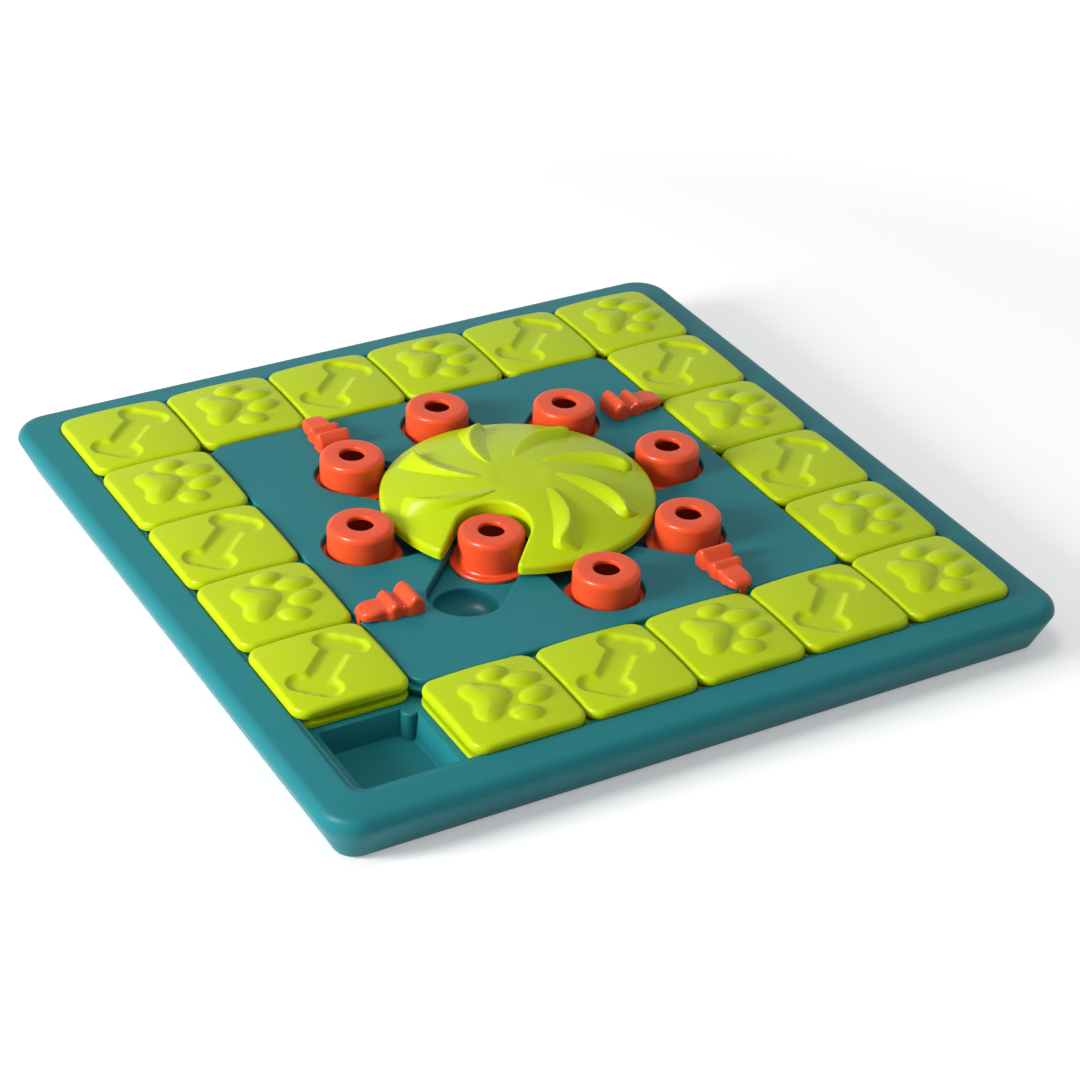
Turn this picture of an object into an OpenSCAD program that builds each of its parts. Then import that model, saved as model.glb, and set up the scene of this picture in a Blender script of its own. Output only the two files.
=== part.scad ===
// Dog puzzle feeder board: a square tray with a track of sliding tiles round its edge,
// a slotted deck with sliding pegs over treat wells, a domed turning wheel with one notch,
// and four slide locks at the deck's edge.
// Origin: centre of the board, at the underside of its feet. X runs along the front edge
// to the right, Y to the back, Z up. The empty cell of the track is the front left one.

/* [Track and tiles] */
// Pitch of the track's square cells
pitch = 63; // [62:0.25:64]
// Gap between two neighbouring tiles
tile_gap = 0.7; // [0.6:0.1:1]
// Plan radius of a tile's corners
tile_corner_r = 8; // [7.5:0.25:8.5]
// Thickness of a tile's upper plate
tile_plate_t = 4.4; // [4.2:0.1:5]
// Rounding of the upper plate's top edge
tile_edge_r = 2.6; // [2:0.2:3]
// Thickness of a tile's lower plate
tile_foot_t = 3; // [2.6:0.1:3.4]
// Height of the groove round a tile
groove_h = 2.8; // [2.8:0.1:3.2]
// Depth of the groove round a tile
groove_d = 3.8; // [3.6:0.1:4.4]
// Vertical running gap of every piece that slides
slide_gap = 0.3; // [0.25:0.05:0.35]
// Thickness of the lips that run in the tiles' groove
lip_t = 2.1; // [1.8:0.1:2.2]
// Reach of the tray's lip over the track
rim_lip = 3; // [2.6:0.2:3.2]
// Reach of the deck's lip over the track
deck_lip = 2.6; // [2.2:0.2:3]

/* [Relief on the tiles] */
// Height of the paw pads above a tile
pad_h = 2.4; // [1.6:0.2:3]
// Radius of a paw's toe pads
toe_r = 5.6; // [5:0.2:6]
// Distance between the two centres that make a toe oval
toe_stretch = 4.6; // [3:0.2:5.2]
// Radius of the main pad's lobes
lobe_r = 8; // [7:0.2:8.6]
// Depth of the bone hollow
bone_depth = 2.8; // [2:0.2:3.2]
// Radius of the knobs at the bone's ends
knob_r = 6.6; // [6:0.2:7.2]
// Half length between the bone's knobs
bone_half = 17; // [15:0.5:18]
// Half distance across the bone between its knobs
knob_side = 7; // [6:0.25:7.5]
// Half width of the bone's shaft
shaft_r = 6.4; // [5:0.2:7]

/* [Tray] */
// Width of the rim outside the track
rim_w = 21; // [19:0.5:24]
// Plan radius of the tray's corners
tray_corner_r = 20; // [17:0.5:24]
// Height of the rim above the tray's ledge, at the track
rim_h = 6.8; // [6.4:0.1:7]
// Fall of the rim's top from the track to its rounded edge
rim_fall = 1; // [0.4:0.1:1.4]
// Rounding of the rim's outer top edge
rim_edge_r = 6; // [5:0.25:7]
// Amount by which the side leans in towards the bottom
side_lean = 9.6; // [6:0.2:11]
// Wall of the tray
wall = 2.6; // [2.2:0.1:3]
// Floor under the pockets
floor_t = 2.5; // [2:0.1:3]
// Recess between the floor and the skirt's lower edge
under_h = 2.5; // [2.4:0.1:3.5]
// Depth of a treat pocket under the ledge
pocket_depth = 15.5; // [14:0.5:17]
// Ledge between a pocket and the rim
outer_ledge = 9; // [8:0.25:10]
// Ledge between a pocket and its other neighbours
inner_ledge = 3.5; // [3.2:0.1:4.5]
// Slope of a pocket's walls, over their whole height
pocket_draft = 1; // [0.5:0.1:2]
// Chamfer round a pocket's floor
pocket_chamfer = 3; // [2:0.25:4]
// Radius of the post in each corner pocket
corner_post_r = 4.5; // [4:0.25:5]
// Height of the feet below the skirt
foot_h = 1.5; // [1:0.1:2]
// Radius of a foot
foot_r = 9; // [8:0.25:10]

/* [Deck] */
// Drop of the deck's top below the tiles' tops
deck_drop = 1.2; // [0.8:0.1:1.4]
// Thickness of the deck round the slots
deck_t = 4.7; // [4.4:0.1:4.9]
// Skin of the deck away from the slots
deck_skin = 2.4; // [2:0.1:3]
// Plan radius of the deck's corners
deck_corner_r = 9.5; // [9:0.25:11]
// Play between the deck's edge and the track
deck_gap = 0.4; // [0.3:0.1:0.6]
// Radial play of the well plate in the tray
seat_gap = 0.4; // [0.3:0.1:0.6]
// Thickness of the well plate
well_plate_t = 2.4; // [2:0.1:3]
// Radius of a treat well
well_r = 17; // [15:0.25:17.5]
// Depth of a treat well
well_depth = 11; // [9:0.25:12]
// Distance of the screws from the centre
screw_ring = 100; // [98:0.5:103]
// Radius of the screw posts
post_r = 5; // [4.5:0.25:6]
// Radius of a screw's shank
screw_r = 1.5; // [1.4:0.05:1.6]
// Radial play round a screw
screw_play = 0.05; // [0.03:0.01:0.08]
// Radius of a screw's head
screw_head_r = 3.6; // [3.2:0.1:4]
// Height of a screw's head
screw_head_h = 2; // [1.6:0.1:2.2]

/* [Pegs] */
// Number of pegs and slots
pegs = 8; // [8:1:8]
// Radius of a peg's body
peg_r = 17.6; // [16.5:0.1:18]
// Height of a peg above the deck
peg_h = 13; // [12:0.25:15]
// Rounding of a peg's top edge
peg_edge_r = 3; // [2:0.25:3.5]
// Wall of a peg
peg_wall = 2.2; // [1.8:0.1:2.6]
// Radius of the hole in a peg's top
peg_hole_r = 7; // [6:0.25:8]
// Radius of the flange that holds a peg under the deck
flange_r = 22; // [21.6:0.1:22.4]
// Thickness of that flange
flange_t = 2.1; // [1.8:0.1:2.3]
// Play between a peg and its slot's edge
slot_play = 2.7; // [2.4:0.1:3]
// Gap between a peg over its well and the wheel's rim
peg_clear = 1.9; // [1.6:0.1:2.6]

/* [Wheel] */
// Radius of the wheel
wheel_r = 74; // [73:0.25:74.5]
// Gap between the wheel's rim and the deck
wheel_gap = 1.9; // [1.5:0.1:2.5]
// Height of the wheel's rim
wheel_rim_h = 5.6; // [5:0.2:7]
// Rise of the dome above the rim
dome_rise = 11.2; // [9:0.2:12]
// Wall of the wheel
wheel_wall = 2.4; // [2:0.1:3]
// Rounding of the wheel's top edge
wheel_edge_r = 1.6; // [1:0.1:2]
// Play between the notch and the peg in it
notch_play = 2.4; // [2:0.1:3]
// Thickness of the wall round the notch
notch_wall = 4; // [3.5:0.25:4.5]
// Width of the dome's own band round that wall
notch_band_w = 8; // [7:0.5:9]
// Distance of the notch's round end from the peg in it
notch_extra = 1.5; // [1:0.1:2]
// Distance from the wheel's rim to the middle of the peg in its notch
notch_reach = 24.5; // [23.5:0.25:25]
// Radius of the wheel's spindle
spindle_r = 5; // [4.5:0.25:5.5]
// Radial running play of the spindle
spindle_play = 0.06; // [0.04:0.01:0.08]
// Wall round the spindle's bore
boss_wall = 4; // [3.5:0.25:5]
// Radius of the washer that holds the spindle
washer_r = 8; // [7.5:0.25:8.5]
// Thickness of the washer
washer_t = 2; // [1.5:0.1:2.5]
// Distance from the centre where the vanes begin
vane_start = 19.5; // [18:0.5:22]
// Distance of the vanes' outer ends from the wheel's rim
vane_rim_gap = 7; // [6:0.5:9]
// Angle by which a vane sweeps back from its inner end
vane_sweep = 29; // [24:1:32]
// Radius of curvature of a vane in plan
vane_bend_r = 105; // [90:1:130]
// Radius of a vane's round back
vane_r = 8; // [7:0.25:9]
// Height of a vane's inner end above the dome
vane_low_h = 0.6; // [0.4:0.1:0.9]
// Height of a vane's outer end above the dome
vane_high_h = 4; // [3:0.25:4.5]

/* [Locks] */
// Travel of a lock from open to shut
lock_travel = 3.3; // [2.8:0.1:3.4]
// Length of a lock
lock_len = 34; // [32:0.5:36]
// Half width of a lock's broad end
lock_half_w = 9.6; // [9:0.1:10.5]
// Thickness of a lock's base
lock_base_t = 3.2; // [2.8:0.1:3.6]
// Height of the tall ridge above the deck
tall_ridge_h = 9; // [8:0.25:10]
// Height of the low ridge above the deck
low_ridge_h = 7.2; // [6.5:0.1:8]
// Half width of the tongue that drops between two tiles
tongue_half_w = 1.8; // [1.5:0.05:1.85]
// Thickness of the tongue
tongue_t = 2.4; // [2:0.1:2.8]
// Half width of a lock's stem under the deck
stem_half_w = 3; // [2.6:0.1:3.4]
// Length of the stem
stem_len = 12; // [10:0.5:14]
// Reach of the hooks that hold a lock under the deck
hook_reach = 1.6; // [1.2:0.1:2]

/* [Hidden] */
$fn = 64;
cells = 6;
row = cells - 1;
track_out = cells / 2 * pitch;
track_in = (cells / 2 - 1) * pitch;
board_half = track_out + rim_w;
tile_half = (pitch - tile_gap) / 2;
eps = 0.01;

// Levels, from the table up
skirt_z = foot_h;
under_z = skirt_z + under_h;
floor_z = under_z + floor_t;
ledge_z = floor_z + pocket_depth;
foot_plate_z = ledge_z + slide_gap;
groove_z = foot_plate_z + tile_foot_t;
lip_z = groove_z + slide_gap;
lip_top_z = lip_z + lip_t;
plate_z = groove_z + groove_h;
tile_top_z = plate_z + tile_plate_t;
rim_z = ledge_z + rim_h;
deck_z = tile_top_z - deck_drop;
deck_under_z = deck_z - deck_t;
flange_z = deck_under_z - slide_gap - flange_t;
shelf_z = flange_z - slide_gap;
flange_top_z = flange_z + flange_t;
peg_top_z = deck_z + peg_h;
wheel_z = deck_z + wheel_gap;
wheel_rim_z = wheel_z + wheel_rim_h;
dome_z = wheel_rim_z + dome_rise;

// Well plate, boss and spindle
well_half = track_in - wall - seat_gap;
plate_under_z = shelf_z - well_plate_t;
boss_top_z = deck_z;
boss_shoulder_z = floor_z + washer_t + screw_head_h + 2 * slide_gap + 2;
spindle_end_z = boss_shoulder_z - slide_gap;
hub_r = spindle_r + boss_wall;
hub_top_z = dome(hub_r) - wheel_wall;

// Places of a peg's middle: over its well, and in the wheel's notch
peg_out = wheel_r + peg_clear + peg_r;
peg_in = wheel_r - notch_reach;
vane_end = wheel_r - vane_rim_gap;
slot_half = peg_r + slot_play;
slot_step = 360 / pegs;
notch_peg = 6;
notch_angle = (notch_peg - 1) * slot_step;
notch_half = peg_r + notch_play;

lock_names = ["left", "front", "right", "back"];
tiles = 4 * row - 1;
function two(n) = n < 10 ? str("0", n) : str(n);

// Cell of the track that tile number t lies in, counted round from the empty cell
function cell(t) = t <= row ? [t, 0]
    : t <= 2 * row ? [row, t - row]
    : t <= 3 * row ? [3 * row - t, row]
    : [0, 4 * row - t];
function cell_centre(c) = [(c[0] + 0.5) * pitch - track_out, (c[1] + 0.5) * pitch - track_out];
// Bones lie on every other cell of each side, paws in between and at two of the corners
function is_bone(t) = let (c = cell(t))
    (c[1] == 0 && c[0] % 2 == 0) || (c[0] == row && c[1] > 0 && c[1] % 2 == 0)
    || (c[1] == row && c[0] % 2 == 0) || (c[0] == 0 && c[1] % 2 == 1);

// Points of a quarter round of radius r, from the flat top to the upright side
function round_edge(r, z, steps = 6) =
    [for (k = [0:steps]) let (a = 90 * k / steps) [r * (1 - sin(a)), z - r * (1 - cos(a))]];

// Square with round corners, in plan
module soft_square(half, r) {
    union() {
        square([2 * half, 2 * (half - r)], center = true);
        square([2 * (half - r), 2 * half], center = true);
        for (x = [-1, 1], y = [-1, 1]) translate([x * (half - r), y * (half - r)]) circle(r);
    }
}

// Block with round corners whose edge follows a list of [inset, height] points, top first
module soft_block(half, r, edge) {
    top = edge[0][1];
    bottom = edge[len(edge) - 1][1];
    right = [for (p = edge) [half - p[0], p[1]]];
    left = [for (k = [len(edge) - 1:-1:0]) [edge[k][0] - half, edge[k][1]]];
    union() {
        for (turn = [0, 90])
            rotate([90, 0, turn])
                linear_extrude(2 * (half - r), center = true) polygon(concat(right, left));
        for (x = [-1, 1], y = [-1, 1])
            translate([x * (half - r), y * (half - r), 0])
                rotate_extrude()
                    polygon(concat([[0, top]], [for (p = edge) [r - p[0], p[1]]], [[0, bottom]]));
    }
}

// Cap of a sphere, r wide and h high, standing on the plane z = 0
module cap(r, h) {
    ball = (r * r + h * h) / (2 * h);
    translate([0, 0, h - ball]) sphere(ball);
}

// ---------------------------------------------------------------- tray

module pocket(c) {
    low = [for (k = [0, 1]) c[k] * pitch - track_out + (c[k] == 0 ? outer_ledge : inner_ledge)];
    high = [for (k = [0, 1])
        (c[k] + 1) * pitch - track_out - (c[k] == row ? outer_ledge : inner_ledge)];
    foot = floor_z + pocket_chamfer;
    deep = pocket_draft + pocket_chamfer;
    module slice(k) {
        polygon([[low[k], ledge_z + eps], [low[k] + pocket_draft, foot], [low[k] + deep, floor_z],
                 [high[k] - deep, floor_z], [high[k] - pocket_draft, foot],
                 [high[k], ledge_z + eps]]);
    }
    intersection() {
        translate([0, high[1] + eps, 0])
            rotate([90, 0, 0]) linear_extrude(high[1] - low[1] + 2 * eps) slice(0);
        translate([low[0] - eps, 0, 0])
            rotate([90, 0, 90]) linear_extrude(high[0] - low[0] + 2 * eps) slice(1);
    }
}

module track_pockets() {
    for (i = [0:row], j = [0:row])
        if (i == 0 || i == row || j == 0 || j == row) pocket([i, j]);
}

module tray_shell() {
    edge_z = rim_z - rim_fall;
    lean = [side_lean, skirt_z];
    bank_r = tray_corner_r - rim_edge_r;
    difference() {
        soft_block(board_half, tray_corner_r,
                   concat(round_edge(rim_edge_r, edge_z), [lean]));
        soft_block(board_half - wall, tray_corner_r - wall,
                   concat(round_edge(rim_edge_r - wall, edge_z - wall),
                          [[side_lean, skirt_z - eps]]));
    }
    // Bank that rises from the rounded edge to the track
    difference() {
        soft_block(board_half - rim_edge_r, bank_r,
                   [[min(rim_w - rim_edge_r - wall, bank_r - 0.5), rim_z], [0, edge_z],
                    [0, edge_z - wall]]);
        translate([0, 0, edge_z]) cube([2 * track_out, 2 * track_out, 4 * wall], center = true);
    }
}

module base_tray() {
    inner = track_in - wall;
    mouth_r = tile_corner_r + tile_gap / 2;
    corner = track_in + inner_ledge + corner_post_r / 2;
    color([0.22, 0.5, 0.53])
    difference() {
        union() {
            difference() {
                union() {
                    tray_shell();
                    translate([-track_out - wall, -track_out - wall, under_z])
                        cube([2 * (track_out + wall), 2 * (track_out + wall), rim_z - wall - under_z]);
                }
                // Track, with the lip left over its outer edge
                translate([0, 0, ledge_z])
                    linear_extrude(lip_z - ledge_z) soft_square(track_out, mouth_r);
                translate([0, 0, ledge_z])
                    linear_extrude(rim_h) soft_square(track_out - rim_lip, mouth_r - rim_lip);
                translate([0, 0, lip_top_z])
                    linear_extrude(rim_h) soft_square(track_out, mouth_r);
                track_pockets();
                translate([-inner, -inner, floor_z])
                    cube([2 * inner, 2 * inner, pocket_depth + eps]);
            }
            for (x = [-1, 1], y = [-1, 1])
                translate([x * corner, y * corner, under_z]) cylinder(ledge_z - under_z, r = corner_post_r);
        }
        for (k = [0:pegs - 1])
            rotate((k + 0.5) * slot_step) translate([screw_ring, 0, 0])
                cylinder(2 * floor_z, r = screw_r + screw_play);
    }
}

module rubber_feet() {
    place = track_out - pitch / 2;
    color([0.16, 0.17, 0.18])
    for (x = [-1, 1], y = [-1, 1])
        translate([x * place, y * place, 0])
            rotate_extrude()
                polygon(concat([[0, under_z], [foot_r, under_z], [foot_r, 1]],
                               [[foot_r - 1, 0], [0, 0]]));
}

// ---------------------------------------------------------------- well plate and deck

// Bowl profile: a flat bottom that runs up in a round to an upright wall
module bowl(r, z_top, z_bottom) {
    bend = min(r * 0.6, z_top - z_bottom - 1);
    rotate_extrude()
        polygon(concat([[0, z_top], [r, z_top]],
                       [for (k = [0:8]) let (a = 90 * k / 8)
                           [r - bend + bend * cos(a), z_bottom + bend - bend * sin(a)]],
                       [[0, z_bottom]]));
}

module well_plate() {
    hub_low_r = washer_r + slide_gap + wall;
    color([0.22, 0.5, 0.53])
    difference() {
        union() {
            translate([-well_half, -well_half, plate_under_z])
                cube([2 * well_half, 2 * well_half, well_plate_t]);
            difference() {
                translate([-well_half, -well_half, floor_z])
                    cube([2 * well_half, 2 * well_half, plate_under_z - floor_z]);
                translate([wall - well_half, wall - well_half, floor_z - 1])
                    cube([2 * (well_half - wall), 2 * (well_half - wall), shelf_z]);
            }
            for (k = [0:pegs - 1])
                rotate((k + 0.5) * slot_step) translate([screw_ring, 0, floor_z])
                    cylinder(shelf_z - floor_z, r = post_r);
            translate([0, 0, floor_z]) cylinder(shelf_z - floor_z, r = hub_low_r);
        }
        for (k = [0:pegs - 1]) {
            rotate(k * slot_step) translate([peg_out, 0, plate_under_z - eps])
                cylinder(well_plate_t + 2 * eps, r = well_r);
            rotate((k + 0.5) * slot_step) translate([screw_ring, 0, 0])
                cylinder(2 * shelf_z, r = screw_r + screw_play);
        }
        cylinder(2 * shelf_z, r = spindle_r + spindle_play);
        cylinder(boss_shoulder_z, r = washer_r + slide_gap);
    }
}

// Cup of a treat well, under its hole in the well plate
module treat_well(k) {
    color([0.22, 0.5, 0.53])
    rotate((k - 1) * slot_step) translate([peg_out, 0, 0])
        difference() {
            bowl(well_r + wall, plate_under_z, shelf_z - well_depth - wall);
            bowl(well_r, plate_under_z + eps, shelf_z - well_depth);
        }
}

// Upper part of the wheel's bearing, on the well plate
module wheel_bearing() {
    color([0.22, 0.5, 0.53])
    translate([0, 0, shelf_z])
        difference() {
            cylinder(boss_top_z - shelf_z, r = hub_r);
            translate([0, 0, -eps])
                cylinder(boss_top_z - shelf_z + 2 * eps, r = spindle_r + spindle_play);
        }
}

// The slots of all the pegs, widened by w and running together in the middle
module slot_star(w) {
    for (k = [0:pegs - 1])
        rotate(k * slot_step) {
            translate([0, -slot_half - w]) square([peg_out, 2 * (slot_half + w)]);
            translate([peg_out, 0]) circle(slot_half + w);
        }
}

// Places a lock's own frame: origin on the deck's edge, +X pointing in from the edge
module at_lock(k) {
    rotate(90 * k) translate([-track_in, -pitch, 0]) children();
}

module deck_panel() {
    half = track_in - deck_gap;
    color([0.22, 0.5, 0.53])
    difference() {
        union() {
            soft_block(half, deck_corner_r, concat(round_edge(1, deck_z, 4), [[0, deck_under_z]]));
            translate([0, 0, lip_z]) linear_extrude(lip_t)
                soft_square(track_in + deck_lip, deck_corner_r + deck_lip);
            translate([0, 0, ledge_z]) linear_extrude(deck_under_z - ledge_z)
                soft_square(half, deck_corner_r);
        }
        // Room for the flanges, down to the well plate
        difference() {
            translate([0, 0, ledge_z - 1]) linear_extrude(deck_under_z - ledge_z + 1)
                square(2 * (track_in - wall), center = true);
            for (k = [0:pegs - 1])
                rotate((k + 0.5) * slot_step) translate([screw_ring, 0, shelf_z])
                    cylinder(deck_t, r = post_r);
        }
        linear_extrude(2 * deck_z) slot_star(0);
        // Hollows that leave the deck thin away from the slots
        translate([0, 0, deck_under_z - eps]) linear_extrude(deck_t - deck_skin + eps)
            difference() {
                square(2 * (track_in - 2 * wall), center = true);
                slot_star(wall);
                for (k = [0:pegs - 1])
                    rotate((k + 0.5) * slot_step) translate([screw_ring, 0]) circle(post_r);
            }
        for (k = [0:pegs - 1])
            rotate((k + 0.5) * slot_step) translate([screw_ring, 0, 0])
                cylinder(deck_z - 1.5, r = screw_r + screw_play);
        for (k = [0:3]) at_lock(k) {
            // Slot for the stem, and the notch in the deck's edge for the tongue
            translate([lock_len / 2 - stem_len / 2 - lock_travel - slide_gap,
                       -stem_half_w - slide_gap, deck_under_z])
                cube([stem_len + lock_travel + 2 * slide_gap, 2 * (stem_half_w + slide_gap), 2 * deck_t]);
            translate([-pitch / 4, -tongue_half_w - slide_gap, lip_top_z])
                cube([pitch / 4 + tongue_t + slide_gap, 2 * (tongue_half_w + slide_gap), 2 * deck_t]);
        }
    }
}

module deck_screws() {
    shank = deck_z - 2 - under_z;
    color([0.7, 0.72, 0.74])
    for (k = [0:pegs - 1])
        rotate((k + 0.5) * slot_step) translate([screw_ring, 0, 0])
            difference() {
                union() {
                    translate([0, 0, under_z - screw_head_h]) cylinder(screw_head_h, r = screw_head_r);
                    translate([0, 0, under_z - eps]) cylinder(shank, r = screw_r);
                }
                for (turn = [0, 90])
                    rotate(turn) translate([0, 0, under_z - screw_head_h])
                        cube([screw_head_r * 1.2, screw_head_r / 4, screw_head_h], center = true);
            }
}

// ---------------------------------------------------------------- pegs

module at_peg(k) {
    rotate((k - 1) * slot_step) translate([k == notch_peg ? peg_in : peg_out, 0, 0]) children();
}

module peg(k) {
    inside_z = peg_top_z - peg_wall;
    color([0.91, 0.33, 0.21])
    at_peg(k)
        rotate_extrude()
            polygon(concat(
                [for (p = round_edge(peg_edge_r, peg_top_z)) [peg_r - p[0], p[1]]],
                [[peg_r, flange_top_z], [peg_r - peg_wall, flange_top_z],
                 [peg_r - peg_wall, inside_z], [peg_hole_r, inside_z], [peg_hole_r, peg_top_z]]));
}

// Ring at a peg's foot, which holds it under the deck
module peg_flange(k) {
    color([0.91, 0.33, 0.21])
    at_peg(k)
        translate([0, 0, flange_z])
            difference() {
                cylinder(flange_t, r = flange_r);
                translate([0, 0, -eps]) cylinder(flange_t + 2 * eps, r = peg_r - peg_wall);
            }
}

// ---------------------------------------------------------------- wheel

// Height of the dome's top surface at distance r from the centre
function dome(r) = dome_z - dome_rise * pow(r / wheel_r, 2);

module dome_solid(r_max, drop) {
    steps = 14;
    rotate_extrude()
        polygon(concat(
            [for (k = [0:steps]) let (r = (r_max - wheel_edge_r) * k / steps) [r, dome(r) - drop]],
            [for (a = [30, 60, 90])
                [r_max - wheel_edge_r * (1 - sin(a)), wheel_rim_z - drop - wheel_edge_r * (1 - cos(a))]],
            [[r_max, wheel_z], [0, wheel_z]]));
}

module notch(w) {
    rotate(notch_angle) {
        translate([peg_in - notch_extra, 0, 0]) cylinder(2 * dome_z, r = notch_half + w);
        translate([peg_in - notch_extra, -notch_half - w, 0])
            cube([wheel_r, 2 * (notch_half + w), 2 * dome_z]);
    }
}

// One vane: a round back along a gentle arc, tipped to follow the dome
module vane() {
    a = [vane_start, 0];
    b = vane_end * [cos(-vane_sweep), sin(-vane_sweep)];
    chord = norm(b - a);
    half_angle = asin(chord / 2 / vane_bend_r);
    inner_z = dome(vane_start) + vane_low_h - vane_r;
    outer_z = dome(vane_end) + vane_high_h - vane_r;
    tip = atan((inner_z - outer_z) / chord);
    translate([(a[0] + b[0]) / 2, (a[1] + b[1]) / 2, (inner_z + outer_z) / 2])
        rotate([0, 0, atan2(b[1] - a[1], b[0] - a[0])])
            rotate([0, tip, 0])
                translate([0, -vane_bend_r * cos(half_angle), 0])
                    rotate(90 - half_angle)
                        rotate_extrude(angle = 2 * half_angle)
                            translate([vane_bend_r, 0]) circle(vane_r);
}

// Shell of the dome, with its vanes and the flat seat for the hub
module wheel_dome() {
    difference() {
        union() {
            dome_solid(wheel_r, 0);
            for (k = [1:pegs - 1])
                rotate(notch_angle + (k + 0.5) * slot_step) vane();
        }
        translate([0, 0, -eps]) dome_solid(wheel_r - wheel_wall, wheel_wall);
        translate([0, 0, wheel_z - 4 * vane_r]) cylinder(4 * vane_r, r = wheel_r);
    }
    translate([0, 0, hub_top_z]) cylinder(dome(0) - hub_top_z - wheel_wall / 2, r = hub_r);
}

module turning_wheel() {
    color([0.72, 0.8, 0.12])
    difference() {
        wheel_dome();
        notch(notch_wall + notch_band_w);
    }
}

// Band of the dome that runs round the wall of the notch
module notch_band() {
    color([0.72, 0.8, 0.12])
    difference() {
        intersection() {
            wheel_dome();
            notch(notch_wall + notch_band_w);
        }
        notch(notch_wall);
    }
}

// Wall round the notch, from the wheel's underside to the top of the dome
module notch_rim() {
    color([0.72, 0.8, 0.12])
    intersection() {
        dome_solid(wheel_r, 0);
        difference() {
            notch(notch_wall);
            notch(0);
        }
    }
}

module wheel_spindle() {
    color([0.72, 0.8, 0.12])
    difference() {
        union() {
            translate([0, 0, boss_top_z + slide_gap])
                cylinder(hub_top_z - boss_top_z - slide_gap, r = hub_r);
            translate([0, 0, spindle_end_z]) cylinder(hub_top_z - spindle_end_z, r = spindle_r);
        }
        cylinder(spindle_end_z + 8, r = screw_r + screw_play);
    }
}

module wheel_washer() {
    color([0.7, 0.72, 0.74])
    translate([0, 0, spindle_end_z - washer_t])
        difference() {
            cylinder(washer_t, r = washer_r);
            translate([0, 0, -1]) cylinder(washer_t + 2, r = screw_r + screw_play);
        }
}

module wheel_screw() {
    head_z = spindle_end_z - washer_t - screw_head_h;
    color([0.7, 0.72, 0.74])
    difference() {
        union() {
            translate([0, 0, head_z]) cylinder(screw_head_h, r = screw_head_r);
            translate([0, 0, head_z]) cylinder(screw_head_h + washer_t + 7, r = screw_r);
        }
        for (turn = [0, 90])
            rotate(turn) translate([0, 0, head_z])
                cube([screw_head_r * 1.2, screw_head_r / 4, screw_head_h], center = true);
    }
}

// ---------------------------------------------------------------- locks

// Cross-ridge with a round back: foot from x0 to x1, height h, half width w
module ridge(x0, x1, h, w) {
    back_r = 2;
    mid = (x0 + x1) / 2;
    translate([0, w, 0]) rotate([90, 0, 0]) linear_extrude(2 * w)
        polygon(concat([[x1, 0], [x1, lock_base_t]],
                       [for (a = [30:30:150]) [mid + back_r * cos(a), h - back_r * (1 - sin(a))]],
                       [[x0, lock_base_t], [x0, 0]]));
}

module slide_lock(k) {
    base_z = deck_z + slide_gap;
    middle = lock_len / 2;
    leaf_w = lock_half_w * 0.7;
    tongue_x = -0.1;
    color([0.91, 0.33, 0.21])
    at_lock(k) {
        translate([0, 0, base_z]) {
            linear_extrude(lock_base_t)
                polygon([[tongue_x, -tongue_half_w], [tongue_x, tongue_half_w],
                         [middle / 2, leaf_w], [middle * 0.8, leaf_w], [middle, lock_half_w - 1],
                         [lock_len, lock_half_w], [lock_len, -lock_half_w],
                         [middle, 1 - lock_half_w], [middle * 0.8, -leaf_w], [middle / 2, -leaf_w]]);
            translate([0, 0, lock_base_t]) linear_extrude(1.4)
                polygon([[tongue_x + 1, 0], [middle / 2, leaf_w - 1.5], [middle * 0.8, leaf_w - 1.5],
                         [middle * 0.8, 1.5 - leaf_w], [middle / 2, 1.5 - leaf_w]]);
            ridge(middle * 0.78, middle * 1.36, low_ridge_h, lock_half_w - 1);
            ridge(middle * 1.4, lock_len, tall_ridge_h, lock_half_w);
        }
        translate([tongue_x, -tongue_half_w, lip_top_z + slide_gap])
            cube([tongue_t, 2 * tongue_half_w, base_z - lip_top_z]);
        translate([middle - stem_len / 2, -stem_half_w, deck_under_z - slide_gap - 1])
            cube([stem_len, 2 * stem_half_w, base_z - deck_under_z + slide_gap + 1 + eps]);
        translate([middle - stem_len / 2, -stem_half_w - hook_reach, deck_under_z - slide_gap - 1])
            cube([stem_len, 2 * (stem_half_w + hook_reach), 1]);
    }
}

// ---------------------------------------------------------------- tiles

module tile_blank() {
    union() {
        soft_block(tile_half, tile_corner_r,
                   concat(round_edge(tile_edge_r, tile_top_z), [[0, plate_z + 0.6], [0.6, plate_z]]));
        translate([0, 0, groove_z - 1]) linear_extrude(groove_h + 2)
            soft_square(tile_half - groove_d, tile_corner_r - groove_d);
        soft_block(tile_half, tile_corner_r,
                   [[0.6, groove_z], [0, groove_z - 0.6], [0, foot_plate_z + 0.6], [0.6, foot_plate_z]]);
    }
}

// Paw of four toes and a three-lobed pad, its toes towards +X
module paw() {
    reach = 14.8;
    side = 7.2;
    translate([0, 0, tile_top_z]) {
        for (y = [-1, 1]) {
            toe([reach, y * side, 0], 0);
            toe([4, y * 2.45 * side, 0], y * 15);
            translate([-11.5, y * 8.5, 0]) cap(lobe_r, pad_h);
        }
        translate([-2.5, 0, 0]) cap(lobe_r, pad_h);
        translate([-8, 0, 0]) cap(lobe_r, pad_h);
    }
}

module toe(p, turn) {
    for (x = [-1, 1])
        translate(p) rotate(turn) translate([x * toe_stretch / 2, 0, 0]) cap(toe_r, pad_h);
}

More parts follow.
